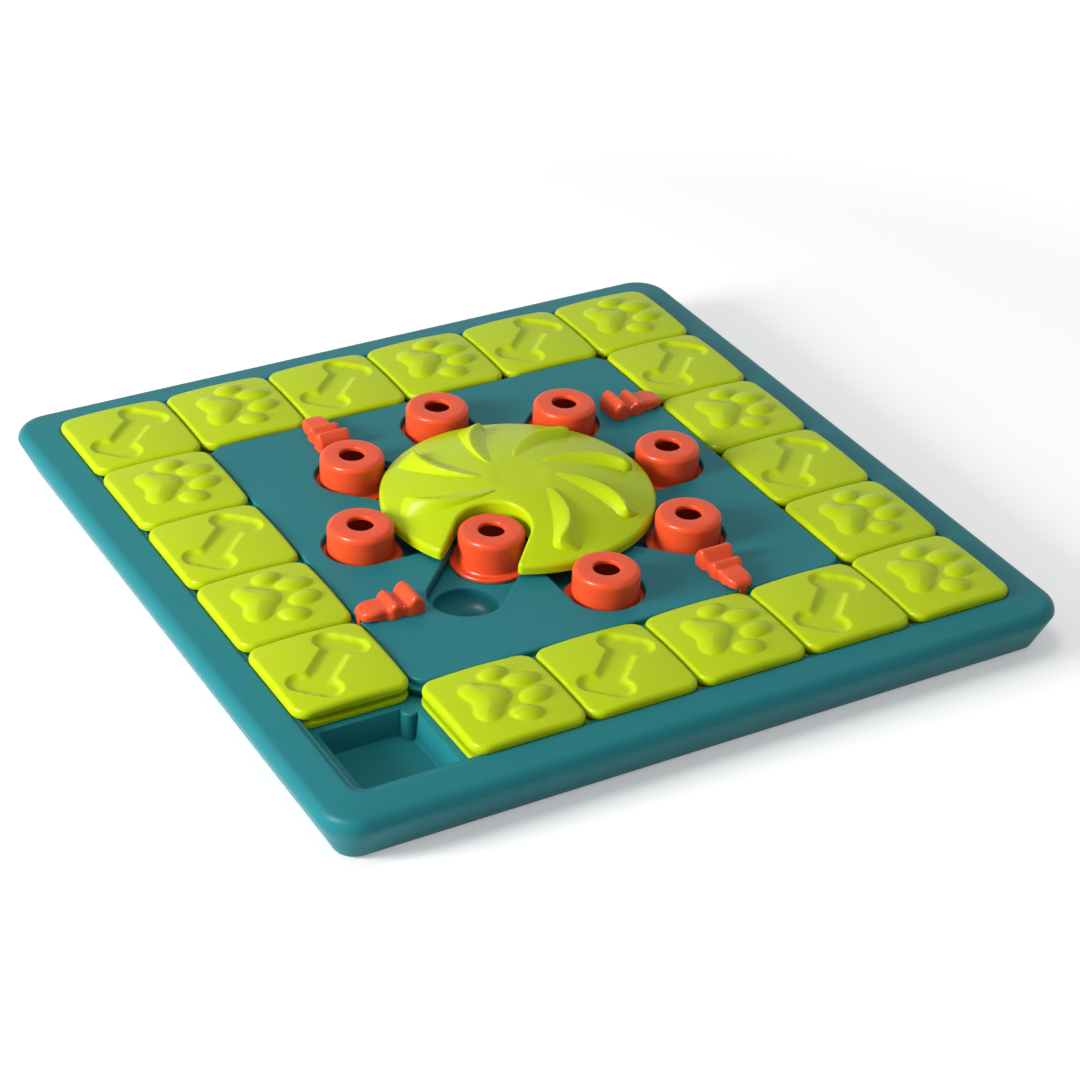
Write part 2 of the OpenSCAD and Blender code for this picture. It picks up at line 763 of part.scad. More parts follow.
// Bone-shaped hollow, lying along the tile's diagonal
module bone() {
    shaft_ball = (shaft_r * shaft_r + bone_depth * bone_depth) / (2 * bone_depth);
    translate([0, 0, tile_top_z]) rotate(45) {
        for (x = [-1, 1], y = [-1, 1])
            translate([x * bone_half, y * knob_side, 0]) mirror([0, 0, 1]) cap(knob_r, bone_depth);
        translate([-bone_half, 0, shaft_ball - bone_depth]) rotate([0, 90, 0])
            cylinder(2 * bone_half, r = shaft_ball);
    }
}

module tile(t) {
    color([0.72, 0.8, 0.12])
    translate(concat(cell_centre(cell(t)), [0]))
        if (is_bone(t)) difference() {
            tile_blank();
            bone();
        }
        else union() {
            tile_blank();
            intersection() {
                paw();
                translate([-pitch / 2, -pitch / 2, tile_top_z - 1]) cube([pitch, pitch, pitch]);
            }
        }
}

// ---------------------------------------------------------------- nodes

base_tray();
well_plate();
wheel_bearing();
deck_panel();
deck_screws();
rubber_feet();
turning_wheel();
notch_band();
notch_rim();
wheel_spindle();
wheel_washer();
wheel_screw();
for (k = [1:pegs]) treat_well(k);
for (k = [1:pegs]) peg(k);
for (k = [1:pegs]) peg_flange(k);
for (k = [0:3]) slide_lock(k);
for (t = [1:tiles]) tile(t);
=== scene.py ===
"""Looks of a dog puzzle feeder board: a tray with a track of sliding tiles, a slotted deck
with sliding pegs over treat wells, a domed turning wheel and four slide locks.

Lengths are in millimetres until a mesh is made; Blender's own unit is the metre."""

import math

import bmesh
import bpy
import numpy as np
from bpy.props import FloatProperty, FloatVectorProperty, PointerProperty
from bpy.types import Operator, Panel, PropertyGroup
from mathutils import Matrix, Vector
from mathutils.geometry import delaunay_2d_cdt


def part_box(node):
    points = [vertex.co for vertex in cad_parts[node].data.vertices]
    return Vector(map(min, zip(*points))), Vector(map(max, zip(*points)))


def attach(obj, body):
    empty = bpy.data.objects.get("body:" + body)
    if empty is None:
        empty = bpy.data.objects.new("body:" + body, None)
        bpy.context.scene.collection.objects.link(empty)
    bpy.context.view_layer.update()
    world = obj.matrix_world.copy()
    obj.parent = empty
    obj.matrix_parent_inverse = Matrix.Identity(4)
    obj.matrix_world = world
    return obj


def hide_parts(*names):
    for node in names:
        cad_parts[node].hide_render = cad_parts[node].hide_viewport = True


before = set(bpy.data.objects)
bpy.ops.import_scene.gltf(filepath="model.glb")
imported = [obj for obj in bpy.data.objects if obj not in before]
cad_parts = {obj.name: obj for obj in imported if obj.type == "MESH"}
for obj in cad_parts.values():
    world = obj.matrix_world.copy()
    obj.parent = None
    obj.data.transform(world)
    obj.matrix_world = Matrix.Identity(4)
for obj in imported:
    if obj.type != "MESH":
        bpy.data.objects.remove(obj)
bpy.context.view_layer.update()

bl_info = {
    "name": "Puzzle Feeder Board",
    "version": (1, 0, 0),
    "blender": (4, 5, 0),
    "location": "View3D > Sidebar > Feeder",
    "description": "Builds the tray, tiles, deck, pegs, wheel and locks of a puzzle feeder",
    "category": "Object",
}

MM = 0.001


# ---------- sizes, from the frame


def corners(node):
    """Lowest and highest corner of a frame node, in millimetres."""
    low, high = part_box(node)
    return [round(c / MM, 3) for c in low], [round(c / MM, 3) for c in high]


def centre(node):
    low, high = corners(node)
    return (low[0] + high[0]) / 2, (low[1] + high[1]) / 2


def half_width(node):
    low, high = corners(node)
    return (high[0] - low[0]) / 2


def low_z(node):
    return corners(node)[0][2]


def high_z(node):
    return corners(node)[1][2]


NODES = sorted(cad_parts)
TILE_NAMES = [n for n in NODES if n.startswith("tile_")]
PEG_NAMES = [n for n in NODES if n.startswith("peg_") and n[4:].isdigit()]
LOCK_NAMES = ["lock_left", "lock_front", "lock_right", "lock_back"]

PITCH = round(centre("tile_02")[0] - centre("tile_01")[0], 2)
TRACK_OUT = 3 * PITCH
TRACK_IN = 2 * PITCH
BOARD_HALF = corners("base_tray")[1][0]
SKIRT_Z = low_z("base_tray")
RIM_Z = high_z("base_tray")
UNDER_Z = high_z("rubber_feet")
FLOOR_Z = low_z("well_plate")
DECK_Z = high_z("deck_panel")
DECK_LOW = low_z("deck_panel")
DECK_LIP_HALF = corners("deck_panel")[1][0]
TILE_LOW = low_z("tile_02")
TILE_Z = high_z("tile_02")
TILE_HALF = half_width("tile_02")
PEG_LOW = low_z("peg_flange_1")
PEG_Z = high_z("peg_1")
FLANGE_R = half_width("peg_flange_1")
WELL_RING = centre("peg_1")[0]
WHEEL_R = round(corners("turning_wheel")[1][1], 1)
DOME_Z = high_z("turning_wheel")
SPINDLE_LOW = low_z("wheel_spindle")

RUNNING_GAP = 0.3
LEDGE_Z = round(TILE_LOW - RUNNING_GAP, 3)
SHELF_Z = round(PEG_LOW - RUNNING_GAP, 3)
DECK_T = 4.7
DECK_UNDER = DECK_Z - DECK_T
WALL = 2.6
TILE_R = 8
MOUTH_R = TILE_R + (PITCH - 2 * TILE_HALF) / 2
LIP = (25.6, 27.7)
GROOVE = (25.3, 28.1)
SLOTS = 8
SLOT_HALF = 20.3
SCREW_RING = 100
SCREW_BORE = 1.6
DECK_EDGE = TRACK_IN - 0.4
DECK_R = 9.5
WHEEL_LOW = DECK_Z + 1.9
WHEEL_RIM = WHEEL_LOW + 5.6
NOTCH_ANGLE = math.radians(225)
NOTCH_HALF = 20
NOTCH_CENTRE = 48
FOOT_PLACE = TRACK_OUT - PITCH / 2
ROW = range(6)


def srgb(red, green, blue):
    """Linear colour of a display colour given from 0 to 255."""

    def line(c):
        c /= 255
        return c / 12.92 if c <= 0.04045 else ((c + 0.055) / 1.055) ** 2.4

    return line(red), line(green), line(blue)


# ---------- what a user may change


def colour(name, description, default):
    return FloatVectorProperty(
        name=name, description=description, subtype="COLOR", size=3, min=0, max=1, default=default
    )


def length(name, description, default):
    return FloatProperty(
        name=name, description=description, unit="LENGTH", min=0, default=default * MM
    )


class FeederColours(PropertyGroup):
    teal: colour("Tray", "Colour of the tray and the deck", srgb(30, 114, 121))
    lime: colour("Tiles", "Colour of the tiles and the wheel", srgb(178, 200, 8))
    red: colour("Pegs", "Colour of the pegs and the locks", srgb(226, 78, 38))
    rubber: colour("Feet", "Colour of the rubber feet", srgb(40, 42, 44))
    steel: colour("Screws", "Colour of the screws and the washer", srgb(196, 198, 202))
    floor: colour("Floor", "Colour of the floor the board stands on", (0.86, 0.86, 0.86))


class FeederSizes(PropertyGroup):
    tile_edge: length("Tile edge", "Rounding of a tile's top edge", 2.4)
    tile_crown: length("Tile crown", "How far a tile's top falls towards its corners", 2.2)
    paw_height: length("Paw height", "Height of the paw pads above a tile", 2.4)
    bone_depth: length("Bone depth", "Depth of the bone hollow in a tile", 2.0)
    vane_height: length("Vane height", "Height of a vane's outer end above the wheel", 5.8)
    vane_width: length("Vane width", "Width of a vane at its outer end", 16.2)
    wheel_edge: length("Wheel edge", "Rounding of the wheel's rim and notch", 2.0)
    peg_edge: length("Peg edge", "Rounding of a peg's top edge", 3.2)
    well_depth: length("Well depth", "Depth of a treat well", 11.0)
    pocket_round: length("Pocket rounding", "Rounding round a treat pocket's floor", 1.4)


def sizes():
    """The user's sizes, in millimetres."""
    group = bpy.context.scene.feeder_sizes
    return {name: getattr(group, name) / MM for name in FeederSizes.__annotations__}


# ---------- outlines


def polar(r, angle, middle=(0, 0)):
    """Point at a distance and an angle from a middle."""
    return middle[0] + r * math.cos(angle), middle[1] + r * math.sin(angle)


def turned_by(angle, points):
    """The points, turned about the board's middle."""
    turn = Matrix.Rotation(angle, 2)
    return [tuple(turn @ Vector(p)) for p in points]


def rounded_square(half, r, steps=12, middle=(0, 0), half_y=None):
    """Closed outline of a rounded square or rectangle, anticlockwise from its right side."""
    half_y = half if half_y is None else half_y
    points = []
    for k, (sx, sy) in enumerate(((1, 1), (-1, 1), (-1, -1), (1, -1))):
        corner = (middle[0] + sx * (half - r), middle[1] + sy * (half_y - r))
        points += [polar(r, math.pi / 2 * (k + i / steps), corner) for i in range(steps + 1)]
    return points


def circle(r, steps=64, middle=(0, 0)):
    return [polar(r, 2 * math.pi / steps * i, middle) for i in range(steps)]


def star_of_slots(half, steps=24):
    """Outline of the peg slots, half wide each way, which run together in the middle."""
    step = 2 * math.pi / SLOTS
    cusp = half / math.sin(step / 2)
    slot = [(cusp * math.cos(step / 2), -half), (WELL_RING * 0.8, -half)]
    for i in range(steps + 1):
        slot.append(polar(half, -math.pi / 2 + math.pi * i / steps, (WELL_RING, 0)))
    slot.append((WELL_RING * 0.8, half))
    return [p for k in range(SLOTS) for p in turned_by(step * k, slot)]


def notched_circle(inset, mouth_r=2.3):
    """Outline of the wheel, moved in by inset: a circle with one round-ended notch."""
    half, outer, mouth = NOTCH_HALF + inset, WHEEL_R - inset, mouth_r - inset
    mouth_y = NOTCH_HALF + mouth_r
    mouth_x = math.sqrt((WHEEL_R - mouth_r) ** 2 - mouth_y**2)
    lean = math.atan2(mouth_y, mouth_x)
    bend, around = math.pi / 2 + lean, 2 * math.pi - 2 * lean
    end_steps, mouth_steps, rim_steps = 32, 8, 150
    points = []
    for i in range(end_steps + 1):
        points.append(polar(half, math.pi * (1.5 - i / end_steps), (NOTCH_CENTRE, 0)))
    for i in range(mouth_steps + 1):
        a = -math.pi / 2 + bend * i / mouth_steps
        points.append(polar(mouth, a, (mouth_x, mouth_y)))
    for i in range(1, rim_steps):
        points.append(polar(outer, lean + around * i / rim_steps))
    for i in range(mouth_steps + 1):
        points.append(polar(mouth, -lean + bend * i / mouth_steps, (mouth_x, -mouth_y)))
    return turned_by(NOTCH_ANGLE, points)


def smooth_outline(points, rounds=2):
    """Cuts the corners of a closed outline until it is round."""
    for _ in range(rounds):
        cut = []
        for (ax, ay), (bx, by) in zip(points, points[1:] + points[:1]):
            cut.append((ax * 0.75 + bx * 0.25, ay * 0.75 + by * 0.25))
            cut.append((ax * 0.25 + bx * 0.75, ay * 0.25 + by * 0.75))
        points = cut
    return points


def quarter(r, steps=6):
    """Insets and drops of a quarter round, from the upright side to the flat top."""
    turns = [math.pi / 2 * i / steps for i in range(steps + 1)]
    return [(r * (1 - math.cos(a)), r * (1 - math.sin(a))) for a in turns]


def bevelled(low, high, bevel):
    """Insets and heights of an edge with both corners cut off, from its top down."""
    return [(bevel, high), (0, high - bevel), (0, low + bevel), (bevel, low)]


def depth_inside(x, y, outline):
    """Distance of each point from a closed outline, positive inside it."""
    best = np.full(x.shape, 1e9)
    inside = np.zeros(x.shape, bool)
    for (ax, ay), (bx, by) in zip(outline, outline[1:] + outline[:1]):
        ex, ey = bx - ax, by - ay
        t = np.clip(((x - ax) * ex + (y - ay) * ey) / (ex * ex + ey * ey + 1e-12), 0, 1)
        best = np.minimum(best, np.hypot(x - ax - t * ex, y - ay - t * ey))
        inside ^= ((ay > y) != (by > y)) & (x < (bx - ax) * (y - ay) / (by - ay + 1e-12) + ax)
    return np.where(inside, best, -best)


def kept_inside(points, outline, clear):
    """Those of the points that lie more than clear inside an outline."""
    x, y = np.array(points).T
    keep = depth_inside(x, y, outline) > clear
    return [p for p, kept in zip(points, keep) if kept]


def smooth_max(a, b, soft):
    """The larger of two values, with a soft change from one to the other."""
    share = np.clip(0.5 + 0.5 * (a - b) / soft, 0, 1)
    return b + (a - b) * share + soft * share * (1 - share)


# ---------- meshes


def unmoved(x, y):
    return x, y


class Skin:
    """Points and faces of one piece, in millimetres."""

    def __init__(self):
        self.points = []
        self.faces = []

    def loop(self, points):
        """Adds points and gives back their numbers."""
        first = len(self.points)
        self.points += points
        return list(range(first, len(self.points)))

    def lay(self, outline, z, place=unmoved):
        """Adds the points of an outline; z is a height, or a function of x and y, and place
        turns a point of a piece's own plan to the board's."""
        return self.loop([(*place(x, y), z(x, y) if callable(z) else z) for x, y in outline])

    def bridge(self, a, b):
        n = len(a)
        for i in range(n):
            j = (i + 1) % n
            self.faces.append((a[i], a[j], b[j], b[i]))

    def join(self, loops):
        """Joins each loop to the next; gives back the first and the last."""
        for a, b in zip(loops, loops[1:]):
            self.bridge(a, b)
        return loops[0], loops[-1]

    def rings(self, outlines_and_heights, place=unmoved):
        return self.join([self.lay(outline, z, place) for outline, z in outlines_and_heights])

    def fan(self, ring):
        """Closes a ring with triangles to its middle."""
        middle = sum((Vector(self.points[i]) for i in ring), Vector()) / len(ring)
        self.points.append(tuple(middle))
        tip = len(self.points) - 1
        for i, a in enumerate(ring):
            self.faces.append((a, ring[(i + 1) % len(ring)], tip))

    def sheet(self, outer, holes=(), inner=(), z=0.0, place=unmoved):
        """Fills an outline, less its holes, with triangles over extra inner points."""
        coords, edges = [], []
        for loop in (outer, *holes):
            first = len(coords)
            coords += [Vector(p) for p in loop]
            edges += [(first + i, first + (i + 1) % len(loop)) for i in range(len(loop))]
        coords += [Vector(p) for p in inner]
        spots, _, faces, *_ = delaunay_2d_cdt(coords, edges, [], 0, 1e-6)
        mid = np.array([np.mean([spots[i] for i in f], axis=0) for f in faces])
        keep = depth_inside(mid[:, 0], mid[:, 1], outer) > 0
        for hole in holes:
            keep &= depth_inside(mid[:, 0], mid[:, 1], hole) < 0
        numbers = self.lay(spots, z, place)
        self.faces += [tuple(numbers[i] for i in f) for f, kept in zip(faces, keep) if kept]

    def turned(self, profile, steps=96, middle=(0, 0), closed=True):
        """Turns a profile of (radius, height) points round an upright line."""
        tiny = 1e-4
        first, last = self.rings([(circle(max(r, tiny), steps, middle), z) for r, z in profile])
        if closed:
            self.bridge(last, first)

    def block(self, outline, low, high):
        """Upright closed block over an outline."""
        bottom, top = self.rings([(outline, low), (outline, high)])
        self.fan(bottom)
        self.fan(top)


def shade(mesh, sharp=38):
    """Shades a mesh smooth but for edges sharper than an angle in degrees."""
    mesh.shade_smooth()
    mesh.set_sharp_from_angle(angle=math.radians(sharp))


def add_object(name, data):
    """A new object in the scene, at the origin."""
    made = bpy.data.objects.new(name, data)
    bpy.context.scene.collection.objects.link(made)
    return made


def make(name, skin, material=None, sharp=38):
    """A Blender object from a skin, at the origin, with its place in its mesh: doubled points
    are joined, and the faces turned outwards."""
    mesh = bpy.data.meshes.new(name)
    mesh.from_pydata([tuple(c * MM for c in p) for p in skin.points], [], skin.faces)
    mesh.update()
    work = bmesh.new()
    work.from_mesh(mesh)
    bmesh.ops.remove_doubles(work, verts=work.verts, dist=2e-6)
    bmesh.ops.dissolve_degenerate(work, edges=work.edges, dist=1e-6)
    bmesh.ops.recalc_face_normals(work, faces=work.faces)
    work.to_mesh(mesh)
    work.free()
    shade(mesh, sharp)
    if material:
        mesh.materials.append(material)
    return add_object(name, mesh)


def baked(piece, name, sharp=38):
    """A plain-mesh copy of a piece with its modifiers applied; the piece itself goes."""
    bpy.context.view_layer.update()
    found = piece.evaluated_get(bpy.context.evaluated_depsgraph_get())
    mesh = bpy.data.meshes.new_from_object(found)
    bpy.data.objects.remove(piece)
    done = add_object(name, mesh)
    mesh.name = name
    shade(mesh, sharp)
    return done


def cut_away(piece, tool, name):
    """Takes a tool's shape out of a piece."""
    cut = piece.modifiers.new("cut", "BOOLEAN")
    cut.operation = "DIFFERENCE"
    cut.object = tool
    cut.solver = "EXACT"
    done = baked(piece, name, 30)
    bpy.data.objects.remove(tool)
    return done


def show(piece, body, slot, *nodes):
    """Says what a finished piece rides on and the frame nodes it stands for; slot is not used."""
    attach(piece, body)
    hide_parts(*nodes)


def socket(tree, name, kind, way="INPUT", default=None):
    made = tree.interface.new_socket(name, in_out=way, socket_type="NodeSocket" + kind)
    if default is not None:
        made.default_value = default


def connect(tree, *links):
    """Links nodes; each link is a node, its output, the next node and its input."""
    for source, given, target, taken in links:
        tree.links.new(source.outputs[given], target.inputs[taken])


def set_inputs(node, **values):
    """Sets a node's inputs; a name's underscores stand for spaces."""
    for name, value in values.items():
        node.inputs[name.replace("_", " ")].default_value = value


def ring_tree():
    """Node tree that sets copies of a shape round the upright axis."""
    name = "copies_round_axis"
    if name in bpy.data.node_groups:
        return bpy.data.node_groups[name]
    tree = bpy.data.node_groups.new(name, "GeometryNodeTree")
    socket(tree, "Geometry", "Geometry")
    socket(tree, "Count", "Int")
    for title in ("Distance", "First Angle", "Angle Step"):
        socket(tree, title, "Float")
    socket(tree, "Material", "Material")
    socket(tree, "Geometry", "Geometry", "OUTPUT")
    add = tree.nodes.new
    given = add("NodeGroupInput")
    result = add("NodeGroupOutput")
    points = add("GeometryNodeMeshLine")
    set_inputs(points, Offset=(0, 0, 0))
    out = add("ShaderNodeCombineXYZ")
    move = add("GeometryNodeTransform")
    index = add("GeometryNodeInputIndex")
    angle = add("ShaderNodeMath")
    angle.operation = "MULTIPLY_ADD"
    turn = add("ShaderNodeCombineXYZ")
    euler = add("FunctionNodeEulerToRotation")
    copies = add("GeometryNodeInstanceOnPoints")
    real = add("GeometryNodeRealizeInstances")
    paint = add("GeometryNodeSetMaterial")
    connect(
        tree,
        (given, "Count", points, "Count"),
        (given, "Distance", out, "X"),
        (given, "Geometry", move, "Geometry"),
        (out, "Vector", move, "Translation"),
        (index, "Index", angle, 0),
        (given, "Angle Step", angle, 1),
        (given, "First Angle", angle, 2),
        (angle, "Value", turn, "Z"),
        (turn, "Vector", euler, "Euler"),
        (points, "Mesh", copies, "Points"),
        (move, "Geometry", copies, "Instance"),
        (euler, "Rotation", copies, "Rotation"),
        (copies, "Instances", real, "Geometry"),
        (real, "Geometry", paint, "Geometry"),
        (given, "Material", paint, "Material"),
        (paint, "Geometry", result, "Geometry"),
    )
    return tree


def set_round(shape, name, count, distance, first, step, material):
    """Copies of a shape round the upright axis, as one plain mesh."""
    tree = ring_tree()
    modifier = shape.modifiers.new("copies", "NODES")
    modifier.node_group = tree
    given = {
        "Count": count,
        "Distance": distance * MM,
        "First Angle": math.radians(first),
        "Angle Step": math.radians(step),
        "Material": material,
    }
    for item in tree.interface.items_tree:
        if item.in_out == "INPUT" and item.name in given:
            modifier[item.identifier] = given[item.name]
    return baked(shape, name)


# ---------- materials


def moulding_group():
    """Shader group of moulded plastic: cloudy colour, handled sheen and a fine skin."""
    name = "moulded_skin"
    if name in bpy.data.node_groups:
        return bpy.data.node_groups[name]
    tree = bpy.data.node_groups.new(name, "ShaderNodeTree")
    socket(tree, "Colour", "Color", default=(0.5, 0.5, 0.5, 1))
    socket(tree, "Clouding", "Float", default=0.06)
    socket(tree, "Roughness", "Float", default=0.3)
    socket(tree, "Handling", "Float", default=0.08)
    socket(tree, "Skin Scale", "Float", default=900)
    for title, kind in (("Colour", "Color"), ("Roughness", "Float"), ("Height", "Float")):
        socket(tree, title, kind, "OUTPUT")
    add, link = tree.nodes.new, tree.links.new
    given = add("NodeGroupInput")
    result = add("NodeGroupOutput")
    place = add("ShaderNodeTexCoord")

    def noise(detail, **values):
        node = add("ShaderNodeTexNoise")
        set_inputs(node, Detail=detail, **values)
        link(place.outputs["Object"], node.inputs["Vector"])
        return node

    def spread(node, amount, level):
        """A noise about zero, times an amount, on top of a level."""
        centred = add("ShaderNodeMath")
        centred.operation = "SUBTRACT"
        centred.inputs[1].default_value = 0.5
        link(node.outputs["Fac"], centred.inputs[0])
        scaled = add("ShaderNodeMath")
        scaled.operation = "MULTIPLY_ADD"
        link(centred.outputs["Value"], scaled.inputs[0])
        link(given.outputs[amount], scaled.inputs[1])
        if isinstance(level, str):
            link(given.outputs[level], scaled.inputs[2])
        else:
            scaled.inputs[2].default_value = level
        return scaled

    tint = add("ShaderNodeVectorMath")
    tint.operation = "SCALE"
    grain = noise(2)
    connect(
        tree,
        (given, "Colour", tint, 0),
        (spread(noise(3, Scale=26), "Clouding", 1.0), "Value", tint, "Scale"),
        (tint, "Vector", result, "Colour"),
        (spread(noise(5, Scale=70, Distortion=0.6), "Handling", "Roughness"), "Value",
         result, "Roughness"),
        (given, "Skin Scale", grain, "Scale"),
        (grain, "Fac", result, "Height"),
    )
    return tree


def new_material(name):
    made = bpy.data.materials.new(name)
    made.use_nodes = True
    tree = made.node_tree
    return made, tree, tree.nodes["Principled BSDF"]


def skinned(name, tone, clouding, roughness, handling, skin, bump, deep, **surface):
    """Material with the moulded skin; surface holds further inputs of its shader."""
    made, tree, shader = new_material(name)
    group = tree.nodes.new("ShaderNodeGroup")
    group.node_tree = moulding_group()
    group.inputs["Colour"].default_value = (*tone, 1)
    set_inputs(group, Clouding=clouding, Roughness=roughness, Handling=handling, Skin_Scale=skin)
    relief = tree.nodes.new("ShaderNodeBump")
    set_inputs(relief, Strength=bump, Distance=deep * MM)
    set_inputs(shader, **surface)
    connect(
        tree,
        (group, "Colour", shader, "Base Color"),
        (group, "Roughness", shader, "Roughness"),
        (group, "Height", relief, "Height"),
        (relief, "Normal", shader, "Normal"),
    )
    return made


def plastic(name, tone, roughness, gloss, clouding, skin, bump):
    """Moulded plastic in one colour."""
    made = skinned(
        name, tone, clouding, roughness, 0.07, skin, bump, 0.15, IOR=1.49, Specular_IOR_Level=gloss
    )
    made.diffuse_color = (*tone, 1)
    return made


# Of each plastic: its colour, roughness, gloss, clouding, scale of its skin, and bump.
PLASTICS = {
    "teal_moulding": ("teal", 0.4, 0.12, 0.08, 900, 0.1),
    "lime_moulding": ("lime", 0.28, 0.13, 0.06, 900, 0.05),
    "red_moulding": ("red", 0.3, 0.26, 0.07, 900, 0.08),
    "foot_rubber": ("rubber", 0.75, 0.25, 0.3, 1500, 0.4),
}


def material(name):
    """Each finish of the board, made the first time it is asked for."""
    if name in bpy.data.materials:
        return bpy.data.materials[name]
    tones = bpy.context.scene.feeder_colours
    if name in PLASTICS:
        tone, *look = PLASTICS[name]
        return plastic(name, getattr(tones, tone), *look)
    return skinned(name, tones.steel, 0.3, 0.34, 0.25, 2200, 0.12, 0.1, Metallic=1)


# ---------- tray

PAD_OUTER, PAD_INNER = 9.0, 3.5
POCKET_TAPER = 1.0
POST_R = 4.5


def track_cells():
    """Column and row of each cell round the track."""
    return [(i, j) for i in ROW for j in ROW if {i, j} & {ROW[0], ROW[-1]}]


def pocket_ring(cell, inset, r=2.6, least_r=0.8):
    """Outline of a treat pocket's mouth, moved in by inset."""
    low = [c * PITCH - TRACK_OUT + (PAD_OUTER if c == ROW[0] else PAD_INNER) for c in cell]
    high = [(c + 1) * PITCH - TRACK_OUT - (PAD_OUTER if c == ROW[-1] else PAD_INNER) for c in cell]
    middle = ((low[0] + high[0]) / 2, (low[1] + high[1]) / 2)
    half_x, half_y = (high[0] - low[0]) / 2 - inset, (high[1] - low[1]) / 2 - inset
    return rounded_square(half_x, max(r - inset, least_r), 6, middle, half_y)


def tray_profile():
    """Half width, corner radius and height of each ring of the tray, from the track outwards
    over the rim, down the skirt and back in underneath."""
    edge_r, edge_z, corner_r, lean = 6.0, RIM_Z - 1.0, 20.0, 9.6
    lip, bank, flat = 3, 1.0, 3
    rings = [(TRACK_OUT, MOUTH_R, LEDGE_Z), (TRACK_OUT, MOUTH_R, LIP[0])]
    for inset, z in reversed(bevelled(*LIP, 0.4)):
        rings.append((TRACK_OUT - lip + inset, MOUTH_R - lip + inset, z))
    rings.append((TRACK_OUT, MOUTH_R, LIP[1]))
    for inset, drop in quarter(bank, 4):
        rings.append((TRACK_OUT + inset, MOUTH_R + inset, RIM_Z - drop))
    rings.append((TRACK_OUT + flat, 2.5 + MOUTH_R, RIM_Z - 0.1))
    top_width = BOARD_HALF - edge_r - TRACK_OUT - flat
    for share in (0.35, 0.7, 0.95):
        half = TRACK_OUT + flat + top_width * share
        rings.append((half, 12 + 2 * share, RIM_Z - 0.1 - 0.9 * share))
    for inset, drop in reversed(quarter(edge_r, 10)):
        rings.append((BOARD_HALF - inset, corner_r - inset, edge_z - drop))
    low = edge_z - edge_r
    slope = lean / (low - SKIRT_Z)
    for share in (0.25, 0.5, 0.75):
        z = low + (SKIRT_Z + 1 - low) * share
        inset = (low - z) * slope
        rings.append((BOARD_HALF - inset, corner_r - inset, z))
    for drop, extra in ((0.9, 0.0), (0.3, 0.15), (0.0, 0.7), (0.0, 1.9), (0.3, 2.4), (0.9, 2.5)):
        inset = lean - drop * slope + extra
        rings.append((BOARD_HALF - inset, corner_r - inset, SKIRT_Z + drop))
    hollow_z = edge_z - 4
    for inset, z in ((WALL + 3, low), (WALL + 6, hollow_z)):
        rings.append((BOARD_HALF - inset, corner_r - inset, z))
    rings.append((TRACK_OUT + WALL + 1, 6, hollow_z))
    rings += [(TRACK_OUT + WALL, 5, z) for z in (hollow_z - 1, UNDER_Z)]
    return rings


class FEEDER_OT_tray(Operator):
    """Tray with its rim, track, treat pockets and skirt"""

    bl_idname = "feeder.tray"
    bl_label = "Tray"

    def execute(self, context):
        steps, flare = 14, 0.7
        skin = Skin()
        skin.rings([(rounded_square(h, r, steps), z) for h, r, z in tray_profile()])
        skin.sheet(rounded_square(TRACK_OUT + WALL, 5, steps), z=UNDER_Z)
        tub = rounded_square(TRACK_IN - WALL, 2, 4)
        mouths = [pocket_ring(cell, -flare) for cell in track_cells()]
        skin.sheet(rounded_square(TRACK_OUT, MOUTH_R, steps), [tub, *mouths], z=LEDGE_Z)
        _, tub_floor = skin.rings([(tub, LEDGE_Z), (tub, FLOOR_Z)])
        skin.fan(tub_floor)
        bend = sizes()["pocket_round"]
        profile = [(-flare, LEDGE_Z), (-0.25, LEDGE_Z - 0.15), (0, LEDGE_Z - 0.6)]
        profile += [(POCKET_TAPER + inset, FLOOR_Z + drop) for inset, drop in quarter(bend, 5)]
        for cell in track_cells():
            _, low = skin.rings([(pocket_ring(cell, inset), z) for inset, z in profile])
            skin.fan(low)
        at, top, bevel = TRACK_IN + PAD_INNER + POST_R / 2, LEDGE_Z - 0.04, 0.6
        profile = [(0, FLOOR_Z - 1), (POST_R, FLOOR_Z - 1), (POST_R, top - bevel)]
        profile += [(POST_R - bevel, top), (0, top)]
        for middle in ((-at, -at), (-at, at), (at, -at), (at, at)):
            skin.turned(profile, 32, middle, closed=False)
        tray = make("base_tray_moulding", skin, material("teal_moulding"), 32)
        show(tray, "board", "teal_plastic", "base_tray")
        return {"FINISHED"}


# ---------- well plate


